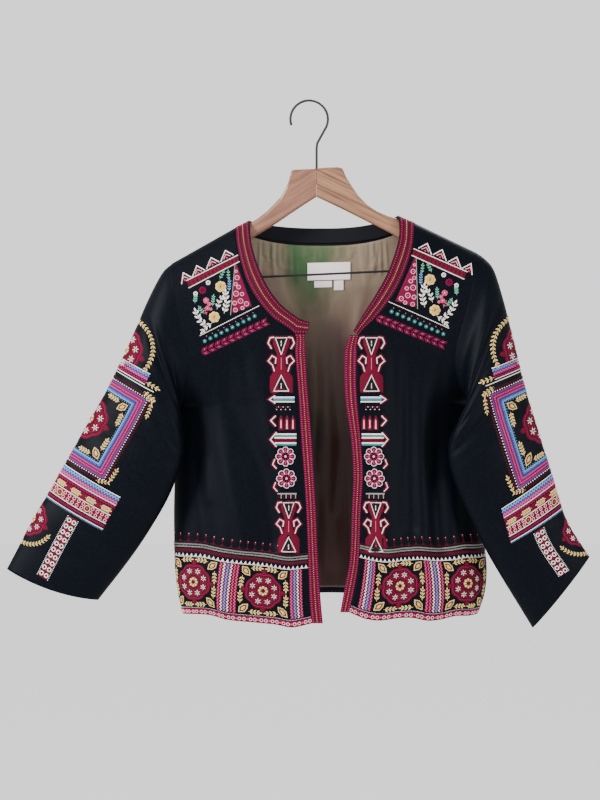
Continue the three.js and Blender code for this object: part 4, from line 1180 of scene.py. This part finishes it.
class SleevePlace:
    """Flat u runs down the outer fold from the shoulder, w goes round it, to the front when positive."""

    def __init__(self, side):
        self.side = side
        self.steps = np.linspace(0, SLEEVE[side][-1, 0], SLEEVE_SAMPLES)
        self.outer = lookup(SLEEVE[side], self.steps)[:, 0:2]
        self.along = along_of(self.outer)
        angle = np.radians(np.interp(self.along, *SLEEVE_LEAN[side]))
        sign = 1 if side == "right" else -1
        self.side_way = np.stack([np.cos(angle) * sign, -np.sin(angle)], -1)

    def u_of(self, x, y):
        """u of the lane through a place in the picture."""
        gap = np.array(px(x, y)) - self.outer
        off = gap - (gap * self.side_way).sum(-1, keepdims=True) * self.side_way
        k = int(np.argmin(np.linalg.norm(off, axis=1) + 0.02 * np.linalg.norm(gap, axis=1)))
        return float(self.along[k])

    def __call__(self, w, u):
        w = w - PANEL_BEHIND[self.side]
        index = np.arange(SLEEVE_SAMPLES)
        k = np.interp(u, self.along, index)
        reach = np.sqrt(w * w + FOLD_FLATNESS**2) - FOLD_FLATNESS
        points = read_line(k, index, self.outer) + read_line(k, index, self.side_way) * reach[:, None]
        start = np.interp(k, index, self.steps)

        def chord(step):
            """Which side of a ring's chord the points are on, and their share of the way along it."""
            values = lookup(SLEEVE[self.side], step)
            outer, inner = values[:, 0:2], values[:, 3:5]
            line, gap = inner - outer, points - outer
            cross = line[:, 0] * gap[:, 1] - line[:, 1] * gap[:, 0]
            return np.sign(cross), (line * gap).sum(-1) / (line * line).sum(-1)

        # The ring through a point is the one nearest to its place on the fold, on either side of it.
        low = high = start
        best = np.full(len(start), np.inf)
        sign = chord(start)[0]
        for way in (-1, 1):
            last = start
            for hop in np.arange(1, 31) * 0.1:
                here = np.clip(start + way * hop, 0, self.steps[-1])
                found = (chord(here)[0] != sign) & (hop < best)
                low, high = np.where(found, last, low), np.where(found, here, high)
                best = np.where(found, hop, best)
                last = here
        for _ in range(14):
            middle = (low + high) / 2
            same = chord(middle)[0] == sign
            low, high = np.where(same, middle, low), np.where(same, high, middle)
        step = (low + high) / 2
        share = np.clip(chord(step)[1], 0, 1)
        degrees = np.degrees(np.arccos(1 - 2 * share))
        return step, np.where(w >= 0, degrees, 360 - degrees)


# Hem border: heights above the hem, and the widths of its two kinds of block
HEM_BAND = 8.5
BLOCK_LOW, BLOCK_HIGH = 11.5, 84.0
BLOCK_WIDE = 72.0
ZIG_WIDE = 29.0
BLOCK_GAP = 1.5
WIDE_ZIGZAG = ["pink", "crimson", "pink", "wine", "white", "dots", "sky", "dots", "white", "crimson", "pink"]
NARROW_ZIGZAG = ["pink", "wine", "white", "dots", "sky", "dots", "pink"]
DIAMOND = np.array([(1.7, 0), (0, 1.9), (-1.7, 0), (0, -1.9)])


def border_lanes(st, a0, a1, buds_from=0):
    """The lanes that run all along the hem, from the lowest up."""
    st.patch(a0, 0.3, a1, HEM_BAND, "crimson")
    st.strip(level(a0, a1, HEM_BAND - 0.4), 0.9, "magenta", seat=0.2)
    points, _, pitch = walk(level(a0, a1, 4.2), 15.5)
    for x, y in points:
        eight(st, x - pitch * 0.2, y, 90, 6.8)
        st.fan(moved(DIAMOND, x + pitch * 0.3, y), "pink", seat=0.2)
    for start, colour in ((a0, "white"), (a0 + 1, "royal")):
        dashes(st, level(start, a1, 10.0), 1.5, 0.9, 1.9, colour, 0, 0.7, -0.1)
    st.strip(level(a0, a1, 85.0), 0.9, "white")
    for x, _ in walk(level(a0, a1, 88.0), 6.6)[0]:
        st.fan(peak(x, 85.6, 2.3, 1.1, 2.3, 4.6), "white")
    st.patch(a0, 91.2, a1, 96.6, "wine")
    dashes(st, level(a0, a1, 93.9), 2.8, 1.2, 3.1, "crimson", 30, 0.7)
    st.patch(a0, 97.6, a1, 105.0, "black", grain=60)
    for y, slant in ((99.5, 50), (103.1, -50)):
        dashes(st, level(a0, a1, y), 3.8, 1.5, 2.1, "silver", slant, 0.95)
    st.strip(level(a0, a1, 106.8), 1.3, "wine", 0.6)
    for x, _ in walk(level(max(a0, buds_from), a1, 112.0), 12.5)[0]:
        bud(st, x, 107.0)


def bud(st, x, y):
    """Small bud on a stem, above the border."""
    st.fan(peak(x, y, 3.6, 1.3, 2.6, 5.6), "wine", 0.7)
    st.strip([(x, y + 4), (x, y + 8)], 0.9, "wine")
    st.fan(disc(1.8, 8) + (x, y + 9.6), "crimson", 1.0)
    dots(st, [(x, y + 11), (x, y + 12.6)], 0.7, 3, "blush")


def block(st, a0):
    """Medallion in a square of leaves."""
    a1 = a0 + BLOCK_WIDE
    medallion(st, (a0 + a1) / 2, (BLOCK_LOW + BLOCK_HIGH) / 2, 27.5)
    for sx, x in ((1, a0), (-1, a1)):
        for sy, y in ((1, BLOCK_LOW), (-1, BLOCK_HIGH)):
            corner_spray(st, x, y, sx, sy, 30)


def hem_border(st, length, at, pattern):
    """Blocks and zigzag panels in turn from `at` on, as far as the length goes."""
    for kind in pattern:
        if kind == "block" and at + BLOCK_WIDE <= length:
            block(st, at)
            at += BLOCK_WIDE + BLOCK_GAP
        elif kind == "zig" and at + ZIG_WIDE <= length + 0.5:
            zigzag_panel(st, at, at + ZIG_WIDE, BLOCK_LOW, BLOCK_HIGH, WIDE_ZIGZAG)
            at += ZIG_WIDE + BLOCK_GAP


# Front columns: hooked figures, arrow bars, spikes, rosettes and a comb, drawn on their own upright axis.
def hook(st, points, width=1.7):
    """White line on a red ground."""
    st.strip(points, width + 4.6, "crimson", 0.5)
    st.strip(points, width, "white", 0.95, seat=0.2)


def figure(st, x, y, tall):
    """Angular hooked figure with a triangle above and below its waist."""
    def at(points):
        return [(x + a * tall, y + b * tall) for a, b in points]
    sides = np.array([(0.14, 0.5), (0.15, 0.36), (0.08, 0.18), (0.065, 0.02), (0.13, -0.12), (0.205, -0.22),
                      (0.205, -0.5)])
    st.body((x, y) + sides * (-tall, tall), (x, y) + sides * tall, "crimson")
    above, below = [(-0.10, 0.46), (0.10, 0.46), (0, 0.17)], [(-0.13, -0.46), (0.13, -0.46), (0, -0.19)]
    for line in (at(above), at(below)):
        middle = np.mean(line, axis=0)
        st.fan(line, "black", 0.65, seat=0.3)
        dashes(st, [*line, line[0]], 2.8, 1.7, 2.0, "white", 0, 1.0, 0.3)
        st.strip([middle - (0, tall * 0.045), middle + (0, tall * 0.045)], 1.3, "white", 1.0, seat=0.4)
        st.strip([middle - (tall * 0.03, 0), middle + (tall * 0.03, 0)], 1.1, "crimson", 1.1, seat=0.4)
    st.strip(at([(0, 0.12), (0, -0.09)]), 1.4, "pink", 0.9, seat=0.3)
    for side in (-1, 1):
        hook(st, at([(side * 0.12, 0.47), (side * 0.19, 0.46), (side * 0.225, 0.37), (side * 0.165, 0.27)]))
        hook(st, at([(side * 0.10, 0.01), (side * 0.09, 0.11), (side * 0.16, 0.15), (side * 0.225, 0.06),
                     (side * 0.15, -0.01), (side * 0.115, -0.12)]), 1.5)


def arrow_bar(st, x, y, width, height, out, colours):
    """Striped bar with a chevron at its outer end."""
    lane = height / len(colours)
    for k, colour in enumerate(colours):
        low = y - height / 2 + k * lane
        st.patch(x - width / 2, low, x + width / 2, low + lane * 0.94, colour, 0.6)
    tip, rise = x + out * width / 2, height * 0.5 + 1.5
    hook(st, [(tip - out * 3, y + rise), (tip + out * 5.5, y), (tip - out * 3, y - rise)])


def rosette(st, x, y, r):
    """Eight outlined petals with a light rib each."""
    for k in range(8):
        outline = moved(petal(r, r * 0.62, r * 0.2), x, y, 45 * k)
        st.fan(outline, "raspberry", 0.75, grain=45 * k)
        st.strip(outline[1:-1], 0.75, "white", 0.95, seat=0.4, spacing=WIDE_CELL)
        st.strip(moved([(0, r * 0.42), (0, r * 0.78)], x, y, 45 * k), 0.9, "pink", 1.0, seat=0.5)
    st.fan(disc(r * 0.14, 8) + (x, y), "blush", 1.2, seat=0.5)


# Picture x of each column's axis, by picture height
COLUMN_AXIS = {"right": ([335, 555], [280, 290.0]), "left": ([335, 550], [370.6, 376.4])}


def front_column(st, side):
    """Everything down a front, each at its height in the picture; out is towards the side."""
    out = -1 if side == "right" else 1

    def spot(y):
        return px(np.interp(y, *COLUMN_AXIS[side]), y)

    figure(st, *spot(364.5), 84)
    figure(st, *spot(527.0), 77)
    x, z = spot(399.5)
    arrow_bar(st, x - out * 1.5, z, 31, 8.5, out, ["white", "teal", "sky", "white"])
    x, z = spot(408)
    for reach, rise, radius, colour in (
        (13, 1.5, 1.3, "crimson"), (10, 1.5, 0.9, "blush"), (13, -2.2, 0.8, "white"),
    ):
        dots(st, level(x - reach, x + reach, z + rise), radius, 6.5, colour)
    x, z = spot(422)
    hook(st, [(x + out * 12, z + 9), (x + out * 19, z + 2), (x + out * 12, z - 6)])
    for k in (-1, 0, 1):
        foot = (x + k * 8.6 - out * 4.5, z - 1)
        st.fan(np.array([(-3.8, -11), (3.8, -11), (3.4, 4), (0, 12), (-3.4, 4)]) + foot, "crimson", grain=0)
        st.fan(np.array([(-1.3, -9), (1.3, -9), (1, 3), (0, 6), (-1, 3)]) + foot, "blush", 1.15, seat=0.4)
    x, z = spot(439.5)
    colours = ["teal", "white", "crimson", "crimson", "white", "teal", "white"]
    arrow_bar(st, x - out * 1.0, z, 32, 18, out, colours)
    for y in (456.5, 478.5):
        rosette(st, *spot(y), 14.0)
    for y in (463, 486):
        x, z = spot(y)
        hook(st, [(x + out * 15.5, z + 6), (x + out * 18.5, z - 2), (x + out * 13, z - 8)], 1.3)
    x, z = spot(496)
    st.strip(level(x - 13.5, x + 13.5, z + 3.4), 2.4, "silver", 0.9)
    for k in range(8):
        tooth = x - 12 + k * 3.43
        st.strip([(tooth, z + 3), (tooth, z - 3.4)], 1.5, "silver" if k % 2 else "wine", 0.9)


# Yoke panel, laid out in the picture's places on the wearer's right and carried over to the left
YOKE_RIGHT = np.array([(239.4, 261.2), (188.4, 287.8), (199.6, 335.7)])
YOKE_LEFT = np.array([(411.8, 255.0), (464.8, 279.0), (449.5, 328.2)])


def yoke(st, side):
    """Flowered shoulder panel; its places are the picture's on the wearer's right."""
    def p(x, y):
        if side == "left":
            grid = np.column_stack([YOKE_RIGHT, np.ones(3)])
            x, y = np.array([x, y, 1.0]) @ np.linalg.solve(grid, YOKE_LEFT)
        return px(x, y)

    def line(*points):
        return [p(*point) for point in points]

    top_in, top_out, low_out, low_in = (239.4, 261.2), (188.4, 287.8), (199.6, 335.7), (259.3, 305.6)
    # band of squares under a row of peaks
    st.quad_patch(line((237.9, 255), top_in, top_out, (185.8, 281)), "crimson", 0.4)
    dashes(st, line((238, 258.6), (187.4, 284.8)), 5.6, 3.2, 6.4, "wine", 90, 0.8)
    for start, end in (((237.9, 254.6), (185.8, 280.6)), (top_in, top_out)):
        st.strip(line(start, end), 1.3, "white", 0.9)
    for k, (x, y) in enumerate(((182.8, 272.4), (196.5, 265.3), (210.8, 257.1), (225.1, 250))):
        feet = (x - 4.6 + (k == 0) * 3, y + 11.6), (x + 8.4, y + 4.6)
        st.fan(line(feet[0], (x, y + 1), feet[1]), "wine", 0.5, rings=(0.85, 0.5))
        st.strip(line(feet[0], (x, y), feet[1]), 1.7, "white", 0.95)
        st.strip(line((x - 1.6, y + 9), (x + 0.6, y + 4), (x + 5.2, y + 5.6)), 1.3, "blush", 1.0, seat=0.3)
        st.fan(moved(disc(1.3, 6), *p(x + 1.6, y + 7.4)), "pink", 1.0, seat=0.3)
    # wedge with rings
    wedge = line((235.3, 263.6), (236.4, 263.4), (252.5, 306.2), (231.4, 314.3))
    st.quad_patch(wedge, "raspberry", 0.4, grain=20)
    st.strip(line((234.9, 263), (230.6, 315)), 1.2, "silver", 0.85)
    for x, y, r in (
        (237, 277.5, 3.2), (235.6, 284, 2.4), (238.6, 287, 2.8), (236, 293.6, 3.8), (242, 294, 2.6),
        (240.5, 301, 3.6), (234.6, 303, 3.0), (246.5, 303.8, 3.2), (235.5, 310, 2.8), (242.5, 308, 2.4),
        (236, 271, 1.8),
    ):
        small_ring(st, *p(x, y), r, 10, 1.1, "blush")
        st.fan(moved(disc(r * 0.35, 6), *p(x, y)), "pink", 0.9, seat=0.3)
    # flowers and leaves
    for x, y in ((220.6, 286.4), (214.2, 317)):
        cx, cy = p(x, y)
        flower(st, cx, cy, 8.4, 7, "cream", "gold", 0.8, turn=10)
        flower(st, cx, cy, 6.2, 7, "gold", "wine", 1.2, turn=36)
        dots(st, [(cx - 2.6, cy + 1.2), (cx + 2.6, cy - 1.2)], 0.8, 2.4, "white", 1.7, 1.0)
    flower(st, *p(202.4, 290), 5.8, 8, "raspberry", "crimson", 1.0)
    for x, y, r in ((208, 282.4, 3.6), (195.4, 293.4, 3.4)):
        flower(st, *p(x, y), r, 5, "white", "magenta", 1.0)
    for x, y, r in ((206, 300.4, 4.6), (209.2, 304, 3.2), (207.4, 308, 3.8), (210.8, 309, 2.6)):
        flower(st, *p(x, y), r, 5, "pink", "blush", 1.0, turn=x * 7)
    for size, colour, pitch, *points in (
        (7.4, "white", 6.6, (224, 313.5), (226.6, 303), (225.6, 293)),
        (6.2, "white", 6.4, (217, 309), (219, 302), (222, 297.5)),
        (7.4, "white", 6.4, (206.5, 325.5), (199.5, 320), (196, 312)),
        (6.0, "white", 6.4, (212, 323), (205, 328), (202.8, 331)),
        (4.8, "mint", 3.6, (194.6, 303), (195.4, 296.5)), (4.2, "mint", 3.6, (212.4, 306), (213.4, 296.5)),
        (4.2, "mint", 3.6, (203.6, 313.6), (199.6, 307.8)), (4.2, "mint", 3.6, (219.6, 279), (223.2, 271.2)),
        (4.2, "sky", 3.6, (229, 291), (229.4, 281)), (4.0, "mint", 3.6, (228.6, 280), (228.2, 271.6)),
        (3.6, "pink", 3.6, (206.6, 315), (204.6, 309.6)),
    ):
        sprig(st, line(*points), size, colour, pitch)
    # lower lines
    dashes(st, line(low_out, low_in), 3.4, 1.5, 3.0, "white", 0, 0.9)
    for x, y in walk(line((202, 342.4), (257.4, 314.8)), 9.4)[0]:
        flower(st, x, y, 3.0, 5, "teal", "white", 0.95)
    dots(st, line((203.6, 337.6), (256, 311.4)), 0.9, 9.4, "pink", 0.9)
    for start, end, slant in (((201.2, 350.6), (267, 319.6), 48), ((202.6, 354.6), (269, 323), -48)):
        dashes(st, line(start, end), 9.0, 3.4, 5.4, "raspberry", slant, 0.75)
        dashes(st, line(start, end), 6.5, 1.3, 10.8, "pink", slant, 1.0)


# Sleeve panel, drawn in w round the sleeve and u down it; start is u at the middle of its upper medallion.
PANEL_HALF = 64.0
PANEL_TOP, PANEL_BOTTOM = 48, 176
LOW_BAND_TALL = 56
SIDE_STRIP_LONG = 96


def frame_corners(inset, start):
    """Corners of the panel's frame, moved in by inset."""
    w, u0, u1 = PANEL_HALF - inset, start + PANEL_TOP + inset, start + PANEL_BOTTOM - inset
    return [(-w, u0), (w, u0), (w, u1), (-w, u1)]


def frame_sides(inset, start):
    """The frame's four sides."""
    corners = frame_corners(inset, start)
    return zip(corners, corners[1:] + corners[:1])


def arc(w, u, r, start, end, n=24):
    turn = np.radians(np.linspace(start, end, n))
    return np.stack([w + r * np.cos(turn), u + r * np.sin(turn)], -1)


def cross_band(st, half, u, height, lanes):
    """Lanes across the sleeve; each lane is a share of the height with a way of filling it."""
    total = sum(share for share, _ in lanes)
    for share, kind in lanes:
        tall = height * share / total
        middle = u + tall / 2
        line = level(-half, half, middle)
        base = {"leaves": "crimson", "rings": "crimson", "red": "wine"}.get(kind)
        if kind.startswith("zig:"):
            _, base, top = kind.split(":")
        if base:
            st.patch(-half, u, half, u + tall, base)
        if kind == "line":
            st.strip(line, min(tall, 1.3), "white", 0.9, seat=0.1)
        elif kind == "stitches":
            dashes(st, line, 1.9, 1.2, 2.2, "sky", 90, 0.8, -0.1)
        elif kind == "leaves":
            for x, y in walk(line, 25)[0]:
                sprig(st, level(x - 7, x + 6, y), tall * 0.62, "cream", 3.6, lift=1.0)
        elif kind == "rings":
            for k, (x, y) in enumerate(walk(line, 7.6)[0]):
                if k % 6 == 3:
                    small_ring(st, x, y, tall * 0.34, 12, 1.4, "cream", 0.95, 0.2)
                    st.fan(disc(1.3, 6) + (x, y), "pink", 0.95, seat=0.2)
                else:
                    eight(st, x, y, 0, tall * 0.55, thick=0.16)
        elif kind == "red":
            dashes(st, line, tall * 0.8, 1.2, 3.0, "magenta", 30, 0.75)
        else:
            line = zigzag(-half, middle, half, middle, tall * 0.3, 4.6)
            st.strip(line, tall * 0.27, top, 0.8, seat=0.2)
        u += tall


def sleeve_panel(st, start):
    """Everything down a sleeve, from its upper medallion to the strips above the cuff."""
    medallion(st, 0, start, 32)
    for side in (-1, 1):
        sprig(st, arc(0, start, 46, -90, -90 + side * 104), 5.6, "cream", 5.6)
    cross_band(st, 54, start + 13, 17, [
        (1, "line"), (4, "zig:royal:sky"), (4, "zig:violet:pink"), (4, "zig:wine:magenta"), (1, "line"),
    ])
    st.strip(level(-70, 70, start + 33), 1.3, "white", 0.9)
    for side in (-1, 1):
        sprig(st, [(side * 54, start + 26), (side * 72, start + 27)], 5.4, "cream", 5.2)
        sprig(st, [(side * 58, start + 38), (side * 74, start + 42)], 5.0, "cream", 5.2)
    # square frame with its medallion and corners
    for side in frame_sides(-6.5, start):
        dashes(st, side, 6.4, 2.8, 4.4, "wine", 40, 0.75, -0.1)
    for inset, radius, colour in ((-3, 1.0, "white"), (16.8, 0.7, "sky")):
        for side in frame_sides(inset, start):
            dots(st, side, radius, 3.8, colour, seat=-0.1)
    for inset, width, colour in ((0, 3.0, "violet"), (3.6, 4.2, "magenta"), (7.8, 4.2, "violet"),
                                 (11.6, 3.4, "royal"), (14.4, 2.2, "sky")):
        st.strip(frame_corners(inset, start), width, colour, 0.5, closed=True)
    for inset, long, thick, pitch, colour, slant in (
        (3.6, 4.2, 1.3, 2.7, "pink", 40), (7.6, 4.2, 1.3, 2.7, "pink", -40), (12.6, 3.6, 1.1, 2.2, "sky", 85),
    ):
        for side in frame_sides(inset, start):
            dashes(st, side, long, thick, pitch, colour, slant, 0.95, 0.3)
    top, bottom = start + PANEL_TOP, start + PANEL_BOTTOM
    medallion(st, 0, (top + bottom) / 2, 32)
    for sx in (-1, 1):
        for sy, u in ((1, top + 17), (-1, bottom - 17)):
            corner_spray(st, -sx * (PANEL_HALF - 17), u, sx, sy, 32)
            x, y = -sx * (PANEL_HALF + 13), u - sy * 16
            line = [(x + sx * 20, y - sy * 9), (x + sx * 2, y - sy * 3), (x, y + sy * 18)]
            sprig(st, line, 5.0, "cream", 5)
    # bands, medallion and strips below it
    band_top = bottom + 12
    cross_band(st, 100.0, band_top, LOW_BAND_TALL, [
        (1, "line"), (5, "zig:royal:sky"), (5, "zig:violet:pink"), (1, "line"), (4, "zig:wine:magenta"),
        (8, "leaves"), (1, "line"), (10, "rings"), (1, "line"), (6, "red"), (1, "line"), (2, "stitches"),
    ])
    low = start + 280
    medallion(st, 0, low, 26)
    for last in (14, 166):
        sprig(st, arc(0, low, 37, 90, last), 5.0, "cream", 5.0)
    strip_top = band_top + LOW_BAND_TALL + 3
    strip_low = strip_top + SIDE_STRIP_LONG
    for x in (-55, 55):
        st.patch(x - 6.8, strip_top, x + 6.8, strip_low, "crimson", 0.35)
        for edge in (x - 8.4, x + 8.4):
            dots(st, [(edge, strip_top), (edge, strip_low)], 0.8, 2.6, "white", 0.8, -0.1)
        for cx, cy in walk([(x, strip_top + 1), (x, strip_low - 1)], 9.6)[0]:
            eight(st, cx, cy, 90, 8.6, "white", "wine", 0.17)


# Bands: flat a runs along the band in millimetres, b is a share of its width
def place_band(sheet):
    """Along a band from its first row; also gives its length and usual width."""
    along = along_of(sheet.spots[:, sheet.spots.shape[1] // 2])
    widths = np.linalg.norm(np.diff(sheet.spots, axis=1), axis=2).sum(1)

    def place(a, b):
        return np.interp(a, along, sheet.rows), b
    return place, along[-1], float(np.median(widths))


# Lanes of each kind of braid: low share, high share, colour.
# Its rows of stitches: shares and slants, length as a share of the width, thickness, pitch, colour, lift.
NECK_LANES = [(0.02, 0.29, "wine"), (0.355, 0.645, "crimson"), (0.71, 0.95, "wine")]
NECK_ROWS = [
    ([(0.09, 40), (0.22, -40), (0.77, 40), (0.89, -40)], 0.17, 1.7, 3.6, "raspberry", 0.85),
    ([(0.155, 60), (0.83, 60)], 0.10, 0.9, 3.6, "pink", 1.0),
    ([(0.42, 60), (0.58, 60)], 0.15, 1.5, 3.4, "raspberry", 0.8),
    ([(0.5, 90)], 0.085, 1.2, 3.2, "cream", 1.0),
]
FRONT_LANES = [(0.02, 0.32, "wine"), (0.34, 0.66, "crimson"), (0.68, 0.98, "wine")]
FRONT_ROWS = [
    ([(0.10, 40), (0.23, -40), (0.77, 40), (0.90, -40)], 0.21, 1.8, 3.3, "magenta", 0.85),
    ([(0.165, 60), (0.835, 60)], 0.14, 1.0, 3.3, "pink", 1.0),
    ([(0.40, 60), (0.60, 60)], 0.13, 1.2, 3.3, "magenta", 0.85),
    ([(0.5, 60)], 0.10, 1.0, 3.0, "cream", 1.0),
]


def long_lane(st, length, spacing, end, shares, lifts, colour, grain):
    """Lane along the whole band, with a height for each share across it."""
    n = int(length / spacing) + 1
    flat = [(x, y) for x in np.linspace(end, length - end, n) for y in shares]
    st.add(flat, np.tile(lifts, n), grid_faces(n, len(shares)), colour, grain)


def braid(st, length, width, lanes, rows):
    """Lanes along a band, with rows of slanted stitches on them."""
    for low, high, colour in lanes:
        shares = (low, low + 0.02, high - 0.02, high)
        long_lane(st, length, 4, 0.3, shares, [SEAT, 0.35, 0.35, SEAT], colour, 90)
    for places, long, thick, pitch, colour, lift in rows:
        for share, slant in places:
            shape = turned(leaf(width * long, thick) - (0, width * long / 2), slant) / (1, width)
            for x, y in walk(level(0.5, length - 0.5, share), pitch)[0]:
                st.fan(shape + (x, y), colour, lift, seat=0.2, grain=slant)


for side in ("right", "left"):
    sheet = sheets["front_panel_" + side]
    place, length = place_hem(sheet, front=True)
    st = Stitches("border_front_" + side, sheet, place)
    border_lanes(st, 0.5, length - 0.5, 42)
    zigzag_panel(st, 10, 28, BLOCK_LOW, BLOCK_HIGH, NARROW_ZIGZAG)
    hem_border(st, length, 30.0, ["block", "zig", "block", "zig"])
    st.lay()
    st = Stitches("motifs_front_" + side, sheet, place_front(side))
    front_column(st, side)
    yoke(st, side)
    st.lay()

sheet = sheets["back_panel"]
place, length = place_hem(sheet)
st = Stitches("border_back", sheet, place)
border_lanes(st, 0.5, length - 0.5)
unit = BLOCK_WIDE + ZIG_WIDE + 2 * BLOCK_GAP
count = int((length - ZIG_WIDE) // unit)
first = (length - count * unit + BLOCK_GAP - ZIG_WIDE) / 2
hem_border(st, length, first, ["zig"] + ["block", "zig"] * count)
st.lay()

# Where the middle of each sleeve's upper medallion is in the picture
MEDALLION_SPOTS = {"right": (130.6, 353), "left": (510.6, 351)}
for side, spot in MEDALLION_SPOTS.items():
    place = SleevePlace(side)
    st = Stitches("motifs_sleeve_" + side, sheets["sleeve_" + side], place)
    sleeve_panel(st, place.u_of(*spot))
    st.lay()

for name in ("neck_band_right", "neck_band_left", "neck_band_back", "front_band_right", "front_band_left"):
    place, length, width = place_band(sheets[name])
    st = Stitches("braid_" + name, sheets[name], place, BAND_HALF)
    if name.startswith("neck"):
        braid(st, length, width, NECK_LANES, NECK_ROWS)
        # dark cord along the free edge
        long_lane(st, length, 3, 0.2, (0.955, 0.975, 1.0), [0.1, 0.7, 0.1], "black", 0)
    else:
        braid(st, length, width, FRONT_LANES, FRONT_ROWS)
    st.lay()

# Stage, light and camera, in metres
bpy.ops.mesh.primitive_plane_add(size=60, location=(0, 0, -1.9))
floor = bpy.context.object
floor.name = "floor"
floor.data.materials.append(material("floor_pale", (0.94, 0.94, 0.94), 0.9, shine=0.1))

world = bpy.data.worlds.new("studio")
bpy.context.scene.world = world
world.use_nodes = True
background = world.node_tree.nodes["Background"]
background.inputs["Color"].default_value = (1, 1, 1, 1)
background.inputs["Strength"].default_value = 1.38


def area_light(name, spot, target, size, power):
    data = bpy.data.lights.new(name, "AREA")
    data.shape = "RECTANGLE"
    data.size = data.size_y = size
    data.energy = power
    lamp = bpy.data.objects.new(name, data)
    bpy.context.scene.collection.objects.link(lamp)
    lamp.location = spot
    direction = np.array(target) - np.array(spot)
    lamp.rotation_mode = "QUATERNION"
    lamp.rotation_quaternion = Vector(direction).to_track_quat("-Z", "Y")


area_light("key", (-2.3, -1.6, 0.9), (0, 0, -0.45), 0.8, 230)
area_light("fill", (2.2, -1.7, -0.1), (0, 0, -0.45), 1.0, 60)
area_light("rim", (0.6, 1.8, 1.2), (0, 0, -0.4), 1.2, 40)

CAMERA_AWAY = 5.0
SENSOR = 36
camera_data = bpy.data.cameras.new("camera")
camera = bpy.data.objects.new("camera", camera_data)
bpy.context.scene.collection.objects.link(camera)
bpy.context.scene.camera = camera
centre_x, centre_z = px(PHOTO_SIZE[0] / 2, PHOTO_SIZE[1] / 2)
camera.location = (centre_x * MM, -CAMERA_AWAY - 0.05, centre_z * MM)
camera.rotation_euler = (math.radians(90), 0, 0)
camera_data.sensor_width = SENSOR
camera_data.lens = SENSOR * CAMERA_AWAY / (PHOTO_SIZE[1] * PHOTO_SCALE * MM)
camera_data.clip_end = 100
